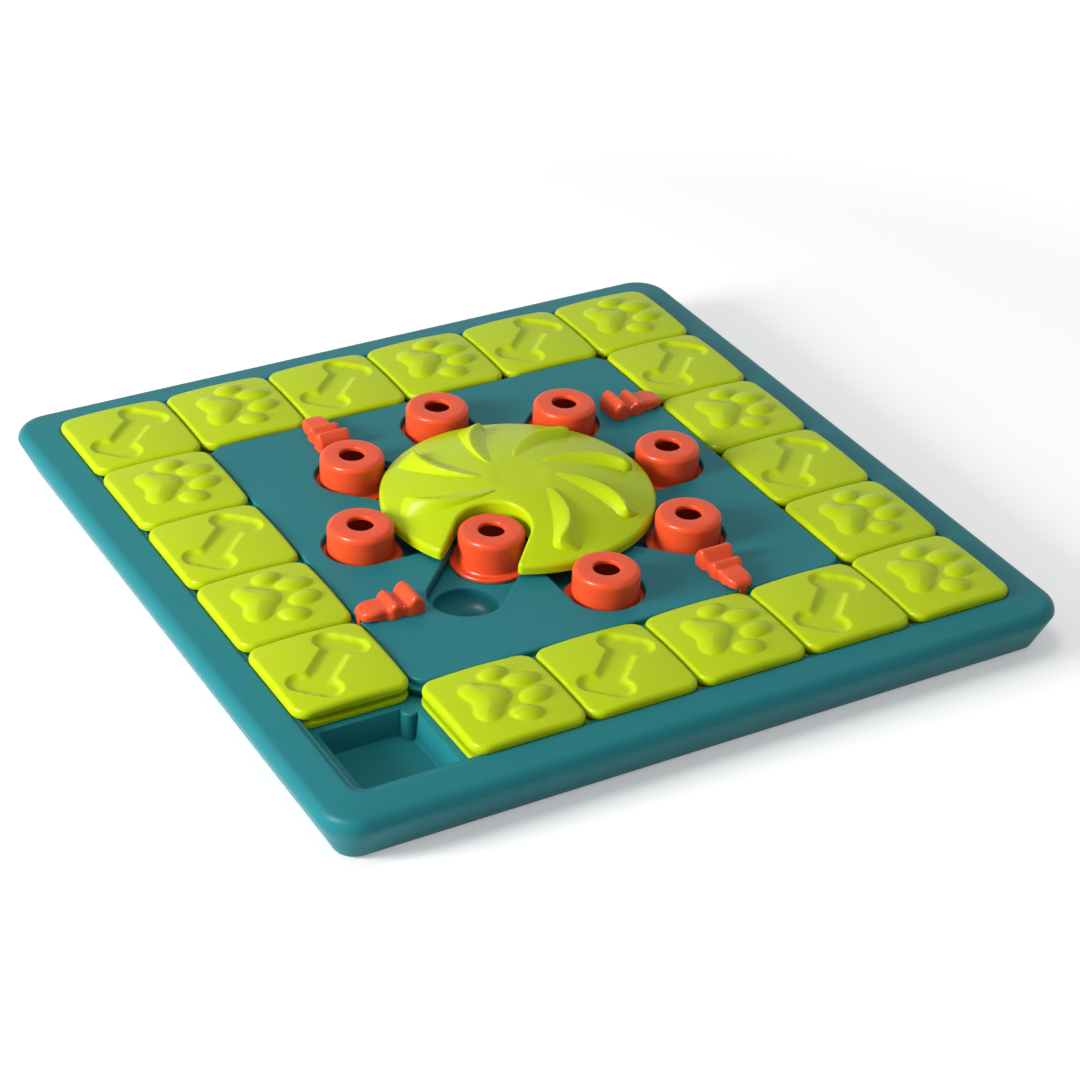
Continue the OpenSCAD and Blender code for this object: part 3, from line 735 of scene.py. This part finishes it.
class FEEDER_OT_wells(Operator):
    """Plate with the treat wells and the wheel's bearing"""

    bl_idname = "feeder.wells"
    bl_label = "Treat wells"

    def execute(self, context):
        depth, shell, half = sizes()["well_depth"], 2.2, TRACK_IN - WALL - 0.4
        bowl_r, lip, bend = 17.0, 0.9, 9.0
        skin = Skin()

        def bowl(at, grow):
            """Rings of one bowl; grow moves it outwards for the underside."""
            top = SHELF_Z - (shell if grow else 0)
            low = SHELF_Z - depth - grow
            profile = [(bowl_r + lip + grow, top), (bowl_r + lip * 0.3 + grow, top - lip * 0.3)]
            profile.append((bowl_r + grow, top - lip))
            profile += [(bowl_r + grow - inset, low + drop) for inset, drop in quarter(bend, 8)]
            return [(circle(r, 48, at), z) for r, z in profile]

        places = [polar(WELL_RING, 2 * math.pi * k / SLOTS) for k in range(SLOTS)]
        plate = rounded_square(half, 1.5, 3)
        for grow, z in ((0, SHELF_Z), (shell, SHELF_Z - shell)):
            skin.sheet(plate, [circle(bowl_r + lip + grow, 48, at) for at in places], z=z)
            for at in places:
                _, low = skin.rings(bowl(at, grow))
                skin.fan(low)
        skin.rings([(plate, SHELF_Z), (plate, SHELF_Z - shell)])
        inner = rounded_square(half - WALL, 1.0, 3)
        wall_top = SHELF_Z - shell + 0.2
        first, last = skin.rings(
            [(plate, wall_top), (plate, FLOOR_Z), (inner, FLOOR_Z), (inner, wall_top)]
        )
        skin.bridge(last, first)
        post_r, post_z = 5, SHELF_Z - 1
        post = [(SCREW_BORE, FLOOR_Z), (post_r, FLOOR_Z), (post_r, post_z), (SCREW_BORE, post_z)]
        for k in range(SLOTS):
            skin.turned(post, 32, polar(SCREW_RING, 2 * math.pi * (k + 0.5) / SLOTS))
        bore_r, recess_r, recess_z, boss_r, neck_r = 5.1, 8.3, 13.1, 11, 9
        boss = [(bore_r, DECK_Z), (bore_r, recess_z), (recess_r, recess_z), (recess_r, FLOOR_Z)]
        boss += [(boss_r, FLOOR_Z), (boss_r, SHELF_Z + 1), (neck_r, SHELF_Z + 2)]
        boss += [(neck_r, DECK_Z - 0.5), (neck_r - 0.5, DECK_Z)]
        skin.turned(boss, 64)
        wells = make("treat_wells", skin, material("teal_moulding"), 35)
        cups = [name for name in NODES if name.startswith("treat_well")]
        show(wells, "board", "teal_plastic", "well_plate", "wheel_bearing", *cups)
        return {"FINISHED"}


# ---------- deck

LOCK_LEN, LOCK_TRAVEL = 34.0, 3.3
STEM_LEN, STEM_HALF = 12.0, 3.0
TONGUE_HALF, TONGUE_LEN = 1.8, 2.4


def lock_frame(k):
    """Turns a point of a lock's own plan, X pointing in from the deck's edge, to the board's."""
    turn = Matrix.Rotation(math.pi / 2 * k, 2)
    start = Vector((-TRACK_IN, -PITCH))
    return lambda x, y: tuple(turn @ (start + Vector((x, y))))


def bar(place, x0, x1, half):
    """Outline of a straight bar along a lock's own plan."""
    return [place(x0, -half), place(x1, -half), place(x1, half), place(x0, half)]


class FEEDER_OT_deck(Operator):
    """Deck with its star of slots and the places of the locks"""

    bl_idname = "feeder.deck"
    bl_label = "Deck"

    def execute(self, context):
        edge, slot_edge, lip = 1.3, 1.0, DECK_LIP_HALF
        skin = Skin()

        def outer(inset):
            return rounded_square(DECK_EDGE - inset, DECK_R - inset, 12)

        rings = [(outer(edge + 0.5), DECK_Z)]
        for inset, drop in reversed(quarter(edge, 6)):
            rings.append((outer(inset), DECK_Z - drop))
        lip_r = DECK_R + lip - DECK_EDGE
        rings.append((outer(0), LIP[1]))
        for inset, z in bevelled(*LIP, 0.4):
            rings.append((rounded_square(lip - inset, lip_r - inset, 12), z))
        rim, low_inner = outer(edge + 0.5), outer(WALL - 0.4)
        rings += [(outer(0), LIP[0]), (outer(0), DECK_LOW)]
        rings += [(low_inner, DECK_LOW), (low_inner, DECK_UNDER)]
        skin.rings(rings)
        high_star = star_of_slots(SLOT_HALF + slot_edge + 0.4)
        low_star = star_of_slots(SLOT_HALF + 0.3)
        skin.sheet(rim, [high_star], z=DECK_Z)
        skin.sheet(low_inner, [low_star], z=DECK_UNDER)
        walls = [(high_star, DECK_Z)]
        for inset, drop in reversed(quarter(slot_edge, 5)):
            walls.append((star_of_slots(SLOT_HALF + inset), DECK_Z - drop))
        walls += [(star_of_slots(SLOT_HALF), DECK_UNDER + 0.3), (low_star, DECK_UNDER)]
        skin.rings(walls)
        deck = make("deck_moulding", skin, material("teal_moulding"), 35)
        deck = cut_away(deck, self.lock_cutter(), "deck_plate")
        show(deck, "board", "teal_plastic", "deck_panel")
        return {"FINISHED"}

    def lock_cutter(self):
        """Blocks that open the deck for the locks' stems and tongues."""
        skin = Skin()
        for k in range(4):
            place = lock_frame(k)
            first = LOCK_LEN / 2 - STEM_LEN / 2 - LOCK_TRAVEL - RUNNING_GAP
            last = LOCK_LEN / 2 + STEM_LEN / 2 + RUNNING_GAP
            notch_end = TONGUE_LEN + RUNNING_GAP
            for x0, x1, half, low in (
                (first, last, STEM_HALF + RUNNING_GAP, DECK_UNDER - 1),
                (-6, notch_end, TONGUE_HALF + RUNNING_GAP, LIP[1]),
            ):
                skin.block(bar(place, x0, x1, half), low, DECK_Z + 2)
        return make("lock_cutter", skin)


# ---------- pegs


class FEEDER_OT_pegs(Operator):
    """Hollow pegs that slide in the deck's slots"""

    bl_idname = "feeder.pegs"
    bl_label = "Pegs"

    def execute(self, context):
        red, profile = material("red_moulding"), self.profile()
        for name in PEG_NAMES:
            x, y = centre(name)
            skin = Skin()
            skin.turned(profile, 112)
            shape = make(name + "_shape", skin, red)
            turn = math.degrees(math.atan2(y, x))
            peg = set_round(shape, name + "_cap", 1, math.hypot(x, y), turn, 0, red)
            show(peg, name + "_body", "red_plastic", name, name.replace("_", "_flange_"))
        return {"FINISHED"}

    def profile(self):
        """Radii and heights of a peg's wall, from its hole over the top and down to its flange."""
        body_r, wall, hole_r, hole_edge, fillet = 17.6, 2.2, 7.0, 0.9, 0.6
        flange_z, inner_r, ceiling = PEG_LOW + 2.1, body_r - wall, PEG_Z - wall
        points = [(hole_r + inset, PEG_Z - drop) for inset, drop in quarter(hole_edge, 5)]
        for inset, drop in reversed(quarter(sizes()["peg_edge"], 9)):
            points.append((body_r - inset, PEG_Z - drop))
        points += [(body_r, flange_z + fillet), (body_r + fillet, flange_z)]
        points += [(FLANGE_R - inset, z) for inset, z in bevelled(PEG_LOW, flange_z, 0.4)]
        points += [(inner_r, PEG_LOW), (inner_r, ceiling - 1), (inner_r - 1, ceiling)]
        return [*points, (hole_r, ceiling)]


# ---------- wheel


def dome(r):
    """Height of the wheel's top at distance r from its middle."""
    return DOME_Z - (DOME_Z - WHEEL_RIM) * (r / WHEEL_R) ** 2


def dome_at(x, y):
    """Top of the wheel, with the faint round hollow over its hub."""
    r = math.hypot(x, y)
    hollow_r, bank, deep = 17.0, 7.0, 0.45
    t = min(max((hollow_r - r) / bank, 0), 1)
    return dome(r) - deep * t * t * (3 - 2 * t)


class FEEDER_OT_wheel(Operator):
    """Domed wheel with its notch, hub and curved vanes"""

    bl_idname = "feeder.wheel"
    bl_label = "Wheel"

    def execute(self, context):
        lime = material("lime_moulding")
        edge, shell = sizes()["wheel_edge"], 2.4
        skin = Skin()
        band = edge + 0.1
        skin.sheet(notched_circle(band), inner=self.spots(band + 0.7, 1.6), z=dome_at)
        rings = [(notched_circle(band), dome_at)]
        for inset, drop in reversed(quarter(edge, 7)):
            rings.append((notched_circle(inset), lambda x, y, d=drop: dome_at(x, y) - d))
        rings += [(notched_circle(0), WHEEL_LOW + 0.5), (notched_circle(0.5), WHEEL_LOW)]
        rings += [(notched_circle(shell), WHEEL_LOW)]

        def ceiling(x, y):
            return dome(math.hypot(x, y)) - shell

        rings.append((notched_circle(shell), ceiling))
        skin.rings(rings)
        skin.sheet(notched_circle(shell), inner=self.spots(shell + 4, 8), z=ceiling)
        hub_top = DOME_Z - shell + 0.5
        spindle_r, hub_r, hub_low, bevel = 5, 9, DECK_Z + RUNNING_GAP, 0.4
        hub = [(SCREW_BORE, SPINDLE_LOW), (spindle_r - bevel, SPINDLE_LOW)]
        hub += [(spindle_r, SPINDLE_LOW + bevel), (spindle_r, hub_low), (hub_r, hub_low)]
        hub += [(hub_r, hub_top), (SCREW_BORE, hub_top)]
        skin.turned(hub, 64)
        wheel = make("wheel_dome", skin, lime, 40)
        rims = [name for name in NODES if name.startswith("notch_")]
        show(wheel, "wheel", "lime_plastic", "turning_wheel", *rims, "wheel_spindle")
        vane = make("vane", self.vane(), lime, 60)
        step = 360 / SLOTS
        first = math.degrees(NOTCH_ANGLE) + 1.5 * step
        vanes = set_round(vane, "wheel_vanes", SLOTS - 1, 0, first, step, lime)
        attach(vanes, "wheel")
        return {"FINISHED"}

    def spots(self, clear, gap):
        """Points spread evenly over the wheel, clear of its edge."""
        found = []
        for k in range(1, int(WHEEL_R / gap) + 1):
            around = max(6, int(2 * math.pi * k))
            offset = 0.5 * (k % 2)
            for i in range(around):
                found.append(polar(k * gap, 2 * math.pi * (i + offset) / around))
        return [(0, 0)] + kept_inside(found, notched_circle(0), clear)

    def vane(self):
        """One vane: a blade that widens and rises outwards, its crest crossing it."""
        size = sizes()
        start, middle, end = Vector((19.5, 0)), Vector((44.2, -12.4)), Vector((58.6, -32.5))
        rows, across, sink = 44, 22, 1.5
        skin = Skin()
        loops = []
        for i in range(rows + 1):
            s = i / rows
            spot = start * (1 - s) ** 2 + middle * 2 * s * (1 - s) + end * s * s
            way = (middle - start) * (1 - s) + (end - middle) * s
            side = Vector((-way.y, way.x)).normalized()
            blunt = math.sqrt(max(0, 1 - max(0, (s - 0.88) / 0.12) ** 2))
            width = size["vane_width"] * s**0.45 * (0.35 + 0.65 * blunt) + 0.3
            room = 0.94 * (DOME_Z - dome(spot.length))
            height = size["vane_height"] * min(1, s / 0.35) * blunt
            height = height * room / (height**4 + room**4 + 1e-9) ** 0.25
            crest = width / 2 * (0.8 - 1.6 * s**2.6)
            loop = []
            for j in range(across + 1):
                v = width * (0.5 - j / across)
                if v > crest:
                    t = (width / 2 - v) / (width / 2 - crest)
                else:
                    t = (v + width / 2) / (crest + width / 2)
                rise = height * (0.5 * t + 0.5 * math.sin(math.pi / 2 * t) ** 1.3)
                p = spot + side * v
                loop.append((p.x, p.y, dome(p.length) + rise - 0.08))
            low = [(x, y, dome(math.hypot(x, y)) - sink) for x, y, _ in reversed(loop)]
            loops.append(skin.loop(loop + low))
        for last in skin.join(loops):
            skin.fan(last)
        return skin


# ---------- locks


class FEEDER_OT_locks(Operator):
    """Slide locks at the deck's edge"""

    bl_idname = "feeder.locks"
    bl_label = "Locks"

    # Distance from a lock's tip, and its half width there.
    widths = (
        (0.0, 3.4), (0.6, 4.8), (2.2, 6.1), (5.0, 7.0), (8.5, 7.3), (11.5, 6.8), (13.0, 7.0),
        (14.5, 8.3), (16.5, 8.9), (19.0, 8.8), (21.0, 7.9), (22.5, 7.8), (24.5, 9.0), (27.0, 9.6),
        (30.5, 9.6), (33.0, 9.0), (33.9, 7.6),
    )

    def execute(self, context):
        outline = [(x, -w) for x, w in self.widths] + [(x, w) for x, w in reversed(self.widths)]
        outline = smooth_outline(outline, 2)
        for k, name in enumerate(LOCK_NAMES):
            skin = self.head(outline, lock_frame(k))
            lock = make(name + "_slider", skin, material("red_moulding"), 50)
            show(lock, name + "_body", "red_plastic", name)
        return {"FINISHED"}

    def top(self, x):
        """Height of the lock's back above its underside, at a distance from its tip."""
        lowest, crest_r = 2.6, 3.2
        leaf = 4.6 + 1.1 * math.sin(math.pi / 2 * min(x / 9, 1)) if x < 14 else lowest
        ridges = []
        for at, high, steep in ((17.6, 8.0, 1.25), (28.6, 10.0, 1.3)):
            ridges.append(high + crest_r - math.hypot(crest_r, steep * (x - at)))
        height = smooth_max(np.array(max(ridges)), np.array(leaf), 1.4)
        return max(float(height), lowest)

    def under(self, x):
        """Height of the lock's underside, which clears the tiles near its tip."""
        return 1.25 * min(max((9 - x) / 3, 0), 1)

    def head(self, outline, place):
        """One lock: its back, its underside, its stem, foot and tongue."""
        base, edge = DECK_Z + RUNNING_GAP, 2.1
        normals = self.inward(outline)

        def moved(inset):
            return [(x + nx * inset, y + ny * inset) for (x, y), (nx, ny) in zip(outline, normals)]

        def low(x, y):
            return base + self.under(x)

        skin = Skin()
        rings = [(outline, low), (outline, lambda x, y: low(x, y) + 0.5)]
        for inset, drop in quarter(edge, 7):
            rings.append((moved(inset), lambda x, y, d=drop: base + self.top(x) - d))
        skin.rings(rings, place)
        skin.sheet(outline, z=low, place=place)
        inside, rows, gap = moved(edge), 46, 0.78
        grid = [(i * LOCK_LEN / rows, j * gap) for i in range(1, rows) for j in range(-12, 13)]
        spots = kept_inside(grid, inside, 0.35)
        skin.sheet(inside, inner=spots, z=lambda x, y: base + self.top(x), place=place)
        at, reach, foot = LOCK_LEN / 2, STEM_LEN / 2, DECK_UNDER - 1.3
        for x0, x1, half, z0, z1 in (
            (at - reach, at + reach, STEM_HALF, foot, base + 1),
            (at - reach + 0.2, at + reach - 0.2, STEM_HALF + 1.6, foot, DECK_UNDER - 0.3),
            (0.2, TONGUE_LEN, TONGUE_HALF, LIP[1] + RUNNING_GAP, base + 1),
        ):
            skin.block(bar(place, x0, x1, half), z0, z1)
        return skin

    def inward(self, outline):
        """Unit normals of a closed outline, pointing inside it."""
        found = []
        for (ax, ay), (bx, by) in zip(outline[-1:] + outline[:-1], outline[1:] + outline[:1]):
            way = Vector((bx - ax, by - ay)).normalized()
            found.append((-way.y, way.x))
        return found


# ---------- tiles

TILE_LIFT = 1.8
GROOVE_IN = 3.8
PAW_SOFT = 0.45
# Middle, half length, half width and turn of each toe's pad.
TOES = (
    (4.1, 19.4, 8.3, 5.7, 13),
    (14.9, 9.0, 9.9, 6.1, -4),
    (14.8, -5.2, 9.5, 6.2, 14),
    (3.7, -16.5, 8.3, 6.1, -17),
)
# Outline of the paw's large pad, and how far in from it the pad is still rising.
PAD = (
    (-18.8, 12.6), (-14.0, 17.6), (-8.6, 17.8), (-4.6, 13.6), (1.0, 9.8), (4.8, 4.6), (3.6, -2.6),
    (-2.4, -7.2), (-6.1, -12.4), (-11.9, -16.2), (-18.2, -14.8), (-20.6, -7.8), (-16.4, -0.6),
    (-18.0, 6.3),
)
PAD_BANK = 9.5
BONE_HALF, KNOB_SIDE, KNOB_R, SHAFT_R = 19.0, 7.2, 7.5, 7.8
BONE_SOFT, BONE_BANK = 3.0, 4.0


def paw_relief(x, y, height):
    """Height of the paw's raised pads over a tile."""

    def crown(t):
        return np.where(t > 0, np.abs(np.clip(t, 0, 1)) ** 0.72, t)

    total = np.zeros(x.shape)
    for cx, cy, a, b, turn in TOES:
        c, s = math.cos(math.radians(turn)), math.sin(math.radians(turn))
        u, v = (x - cx) * c + (y - cy) * s, (y - cy) * c - (x - cx) * s
        total = smooth_max(total, height * crown(1 - (u / a) ** 2 - (v / b) ** 2), PAW_SOFT)
    depth = depth_inside(x, y, smooth_outline(list(PAD))) / PAD_BANK
    rim = 1 - (1 - np.clip(depth, 0, 1)) ** 1.8
    pad = 1.06 * height * np.where(depth > 0, crown(rim), depth * 2)
    return smooth_max(total, pad, PAW_SOFT)


def bone_relief(x, y, depth):
    """Depth of the bone's hollow, which lies across a tile, as a negative height."""
    u, v = (x + y) / math.sqrt(2), (y - x) / math.sqrt(2)
    near = SHAFT_R - np.hypot(np.maximum(np.abs(u) - BONE_HALF, 0), v)
    for sx in (-1, 1):
        for sy in (-1, 1):
            knob = KNOB_R - np.hypot(u - sx * BONE_HALF, v - sy * KNOB_SIDE)
            near = smooth_max(near, knob, BONE_SOFT)
    t = near / BONE_BANK
    bowl = np.where(t > 0, 1 - (1 - np.clip(t, 0, 1)) ** 2, t * 2)
    return -smooth_max(depth * bowl, np.zeros(x.shape), 0.5)


class FEEDER_OT_tiles(Operator):
    """Sliding tiles with raised paws or sunk bones"""

    bl_idname = "feeder.tiles"
    bl_label = "Tiles"

    cells = 88

    def execute(self, context):
        size = sizes()
        edge = size["tile_edge"]
        grid = self.grid(TILE_HALF - edge, TILE_R - edge)
        for name in TILE_NAMES:
            tile = self.tile(name, grid, size)
            show(tile, name + "_body", "lime_plastic", name)
        return {"FINISHED"}

    def edge_points(self, half, r):
        """Outline with as many points as the edge of the tile's grid."""
        n, corner = self.cells, 0.2
        side = []
        for i in range(n):
            t = -1 + 2 * i / n
            if abs(t) <= 1 - corner:
                side.append((half, t / (1 - corner) * (half - r)))
            else:
                a = math.radians(45) * (abs(t) - 1 + corner) / corner
                y = half - r + r * math.sin(a)
                side.append((half - r + r * math.cos(a), math.copysign(y, t)))
        return [p for k in range(4) for p in turned_by(math.pi / 2 * k, side)]

    def grid(self, half, r):
        """Positions of the grid's points, row by row, and the order of those on its edge."""
        n = self.cells
        edge = np.array(self.edge_points(half, r))
        order = [(n, i) for i in range(n)] + [(n - i, n) for i in range(n)]
        order += [(0, n - i) for i in range(n)] + [(i, 0) for i in range(n)]
        spots = np.zeros((n + 1, n + 1, 2))
        almost = 1 - 1e-9
        for i in range(n + 1):
            for j in range(n + 1):
                u, v = 2 * i / n - 1, 2 * j / n - 1
                m = max(abs(u), abs(v))
                if m < 1e-9:
                    continue
                u, v = u / m, v / m
                if u >= almost and v < almost:
                    along = (v + 1) / 2
                elif v >= almost and u > -almost:
                    along = 1 + (1 - u) / 2
                elif u <= -almost and v > -almost:
                    along = 2 + (1 - v) / 2
                else:
                    along = 3 + (u + 1) / 2
                share, low = math.modf(along * n)
                low = int(low)
                after = edge[(low + 1) % (4 * n)]
                spots[i, j] = m * (edge[low % (4 * n)] * (1 - share) + after * share)
        for spot, point in zip(order, edge):
            spots[spot] = point
        return spots, [i * (n + 1) + j for i, j in order]

    def tile(self, name, grid, size):
        """One tile, from its crowned top and rounded edge down past its groove."""
        n, at, crown = self.cells, centre(name), size["tile_crown"]
        has_paw = high_z(name) > TILE_Z + 1
        spots, order = grid
        x, y = spots[..., 0].ravel(), spots[..., 1].ravel()

        def crowned(px, py):
            """Height of the tile's plain top, which falls gently towards its edges."""
            reach = (px / TILE_HALF) ** 2 + (py / TILE_HALF) ** 2
            return TILE_Z + TILE_LIFT - crown / 2 * reach**1.2

        if has_paw:
            relief = paw_relief(x, y, size["paw_height"])
        else:
            relief = bone_relief(x, y, size["bone_depth"])
        skin = Skin()
        heights = crowned(x, y) + relief
        skin.loop([(at[0] + a, at[1] + b, c) for a, b, c in zip(x, y, heights)])
        for i in range(n):
            for j in range(n):
                a = i * (n + 1) + j
                skin.faces.append((a, a + n + 1, a + n + 2, a + 1))
        bevel = ((0, 0.6), (0.15, 0.15), (0.6, 0))
        rows = [(inset, -drop) for inset, drop in reversed(quarter(size["tile_edge"], 7)[:-1])]
        rows += [(inset, GROOVE[1] + up) for inset, up in bevel]
        rows += [(GROOVE_IN, GROOVE[1]), (GROOVE_IN, GROOVE[0])]
        rows += [(inset, GROOVE[0] - down) for inset, down in reversed(bevel)]
        rows += [(inset, TILE_LOW + up) for inset, up in bevel]
        last = order
        for inset, height in rows:
            points = []
            for a, b in self.edge_points(TILE_HALF - inset, TILE_R - inset):
                z = float(crowned(a, b)) + height if height <= 0 else height
                points.append((at[0] + a, at[1] + b, z))
            ring = skin.loop(points)
            skin.bridge(last, ring)
            last = ring
        skin.fan(last)
        return make(name + "_face", skin, material("lime_moulding"), 50)


# ---------- screws and feet


class FEEDER_OT_hardware(Operator):
    """Deck screws, wheel screw, washer and rubber feet"""

    bl_idname = "feeder.hardware"
    bl_label = "Screws and feet"

    def execute(self, context):
        steel = material("zinc_steel")
        shape = self.screw("screw", low_z("deck_screws"), UNDER_Z, DECK_Z - 2, steel)
        step = 360 / SLOTS
        screws = set_round(shape, "deck_screw_set", SLOTS, SCREW_RING, step / 2, step, steel)
        show(screws, "board", "steel", "deck_screws")
        head, thread = corners("wheel_screw")
        shape = self.screw("axle_screw", head[2], head[2] + 2, thread[2], steel)
        screw = set_round(shape, "wheel_axle_screw", 1, 0, 0, 0, steel)
        show(screw, "wheel", "steel", "wheel_screw")
        washer_low, washer_high = corners("wheel_washer")
        skin = Skin()
        r, z0, z1 = washer_high[0], washer_low[2], washer_high[2]
        edge = [(r - inset, z) for inset, z in reversed(bevelled(z0, z1, 0.3))]
        skin.turned([(SCREW_BORE, z0), *edge, (SCREW_BORE, z1)], 64)
        washer = make("wheel_washer_ring", skin, steel)
        show(washer, "wheel", "steel", "wheel_washer")
        rubber = material("foot_rubber")
        skin = Skin()
        r = corners("rubber_feet")[1][0] - FOOT_PLACE
        profile = [(0, UNDER_Z), (r, UNDER_Z), (r, 0.9), (r - 0.3, 0.3), (r - 0.9, 0), (r - 3, 0)]
        profile += [(r - 3.4, 0.35), (r - 4.4, 0.35), (r - 4.8, 0), (0, 0)]
        skin.turned(profile, 48, closed=False)
        foot = make("foot", skin, rubber)
        distance = math.hypot(FOOT_PLACE, FOOT_PLACE)
        feet = set_round(foot, "rubber_foot_set", 4, distance, 45, 90, rubber)
        show(feet, "board", "rubber", "rubber_feet")
        return {"FINISHED"}

    def screw(self, name, low, seat, tip, steel):
        """Screw with a sunk round hollow in its head and a threaded shank."""
        r, shank, half_turn, thread = 3.6, 1.5, 0.45, 0.28
        skin = Skin()
        profile = [(0, low + 1.2), (1.0, low + 0.9), (1.7, low), (r - 0.6, low), (r, low + 0.6)]
        profile += [(r, seat), (shank, seat)]
        z, turn = seat, 0
        while z < tip - 2:
            profile.append((shank - thread * (turn % 2), z + half_turn))
            z += half_turn
            turn += 1
        profile += [(shank * 0.7, tip - 1), (0, tip)]
        skin.turned(profile, 24, closed=False)
        return make(name, skin, steel, 25)


# ---------- floor, lamps and camera


class FEEDER_OT_stage(Operator):
    """Pale floor, soft lamps and the camera"""

    bl_idname = "feeder.stage"
    bl_label = "Stage"

    def execute(self, context):
        self.floor()
        self.world()
        self.lamp("side_lamp", (-1.7, 0.1, 0.6), 0.7, 43, mirrored=False)
        self.lamp("top_lamp", (-0.35, -0.2, 1.7), 0.6, 6, mirrored=False)
        self.lamp("glint_lamp", (-1.02, 0.08, 1.34), 0.36, 45, lights=False)
        self.camera()
        settings = bpy.context.scene.view_settings
        settings.view_transform = "Standard"
        return {"FINISHED"}

    def floor(self):
        mesh = bpy.data.meshes.new("floor")
        half = 4.0
        around = [(-half, -half, 0), (half, -half, 0), (half, half, 0), (-half, half, 0)]
        mesh.from_pydata(around, [], [(0, 1, 2, 3)])
        floor = add_object("floor", mesh)
        made, tree, shader = new_material("floor_white")
        tone = bpy.context.scene.feeder_colours.floor
        shader.inputs["Base Color"].default_value = (*tone, 1)
        shader.inputs["Roughness"].default_value = 0.9
        glow = tree.nodes.new("ShaderNodeEmission")
        both = tree.nodes.new("ShaderNodeAddShader")
        spot = tree.nodes.new("ShaderNodeTexCoord")
        reach = tree.nodes.new("ShaderNodeVectorMath")
        reach.operation = "LENGTH"
        fade = tree.nodes.new("ShaderNodeMapRange")
        set_inputs(fade, From_Min=0.5, From_Max=1.3, To_Min=0.3, To_Max=1.0)
        seen = tree.nodes.new("ShaderNodeMath")
        seen.operation = "MULTIPLY"
        tree.links.new(self.sees_background(tree), seen.inputs[0])
        connect(
            tree,
            (spot, "Object", reach, 0),
            (reach, "Value", fade, "Value"),
            (fade, "Result", seen, 1),
            (seen, "Value", glow, "Strength"),
            (shader, "BSDF", both, 0),
            (glow, "Emission", both, 1),
            (both, "Shader", tree.nodes["Material Output"], "Surface"),
        )
        mesh.materials.append(made)

    def sees_background(self, tree):
        """Socket that is 1 for a ray that shows the background straight, mirrored or through."""
        path = tree.nodes.new("ShaderNodeLightPath")
        last = path.outputs["Is Camera Ray"]
        for way in ("Is Glossy Ray", "Is Transmission Ray"):
            either = tree.nodes.new("ShaderNodeMath")
            either.operation = "MAXIMUM"
            tree.links.new(last, either.inputs[0])
            tree.links.new(path.outputs[way], either.inputs[1])
            last = either.outputs["Value"]
        return last

    def world(self):
        world = bpy.data.worlds.new("studio")
        bpy.context.scene.world = world
        world.use_nodes = True
        tree = world.node_tree
        back = tree.nodes["Background"]
        back.inputs["Color"].default_value = (1, 1, 1, 1)
        level = tree.nodes.new("ShaderNodeMapRange")
        set_inputs(level, To_Min=0.36, To_Max=1.0)
        tree.links.new(self.sees_background(tree), level.inputs["Value"])
        tree.links.new(level.outputs["Result"], back.inputs["Strength"])

    def lamp(self, name, at, size, power, lights=True, mirrored=True):
        """Round lamp aimed at the board, for its plain light, its glint in gloss, or both."""
        data = bpy.data.lights.new(name, "AREA")
        data.shape = "DISK"
        data.size = size
        data.energy = power
        lamp = add_object(name, data)
        lamp.location = at
        lamp.visible_diffuse = lights
        lamp.visible_glossy = mirrored
        aim = Vector((0, 0, 0.02)) - lamp.location
        lamp.rotation_euler = aim.to_track_quat("-Z", "Y").to_euler()

    def camera(self):
        """Camera at the height and turn from which the board is usually shown."""
        azimuth, elevation, roll = map(math.radians, (-30.4506, 31.9485, 2.2722))
        shift_x, shift_y, distance = -0.19092 * PITCH, 0.32684 * PITCH, 23.98079 * PITCH
        back = Vector(
            (math.sin(azimuth) * math.cos(elevation),
             -math.cos(azimuth) * math.cos(elevation),
             math.sin(elevation))
        )
        right = Vector((0, 0, 1)).cross(back).normalized()
        up = back.cross(right)
        axes = Matrix((right, up, back))
        rolled = Matrix.Rotation(-roll, 3, "Z") @ axes
        place = rolled.transposed() @ Vector((-shift_x, -shift_y, distance))
        place.z += TILE_Z
        data = bpy.data.cameras.new("camera")
        data.sensor_width = 36
        data.lens = 94.03
        data.clip_start = 0.05
        data.clip_end = 20
        camera = add_object("camera", data)
        camera.matrix_world = Matrix.Translation(place * MM) @ rolled.transposed().to_4x4()
        bpy.context.scene.camera = camera


# ---------- panel


STEPS = (
    FEEDER_OT_tray,
    FEEDER_OT_wells,
    FEEDER_OT_deck,
    FEEDER_OT_pegs,
    FEEDER_OT_wheel,
    FEEDER_OT_locks,
    FEEDER_OT_tiles,
    FEEDER_OT_hardware,
    FEEDER_OT_stage,
)


class FEEDER_PT_panel(Panel):
    """Sizes, colours and building steps of the feeder board"""

    bl_idname = "FEEDER_PT_panel"
    bl_label = "Feeder board"
    bl_space_type = "VIEW_3D"
    bl_region_type = "UI"
    bl_category = "Feeder"

    def draw(self, context):
        layout = self.layout
        for group, kind in (
            (context.scene.feeder_colours, FeederColours),
            (context.scene.feeder_sizes, FeederSizes),
        ):
            box = layout.box()
            for name in kind.__annotations__:
                box.prop(group, name)
        for step in STEPS:
            layout.operator(step.bl_idname)


CLASSES = (FeederColours, FeederSizes, *STEPS, FEEDER_PT_panel)


def register():
    for kind in CLASSES:
        bpy.utils.register_class(kind)
    bpy.types.Scene.feeder_colours = PointerProperty(type=FeederColours)
    bpy.types.Scene.feeder_sizes = PointerProperty(type=FeederSizes)


def unregister():
    del bpy.types.Scene.feeder_sizes
    del bpy.types.Scene.feeder_colours
    for kind in reversed(CLASSES):
        bpy.utils.unregister_class(kind)


def main():
    register()
    for step in STEPS:
        getattr(bpy.ops.feeder, step.bl_idname.split(".")[1])()


if __name__ == "__main__":
    main()
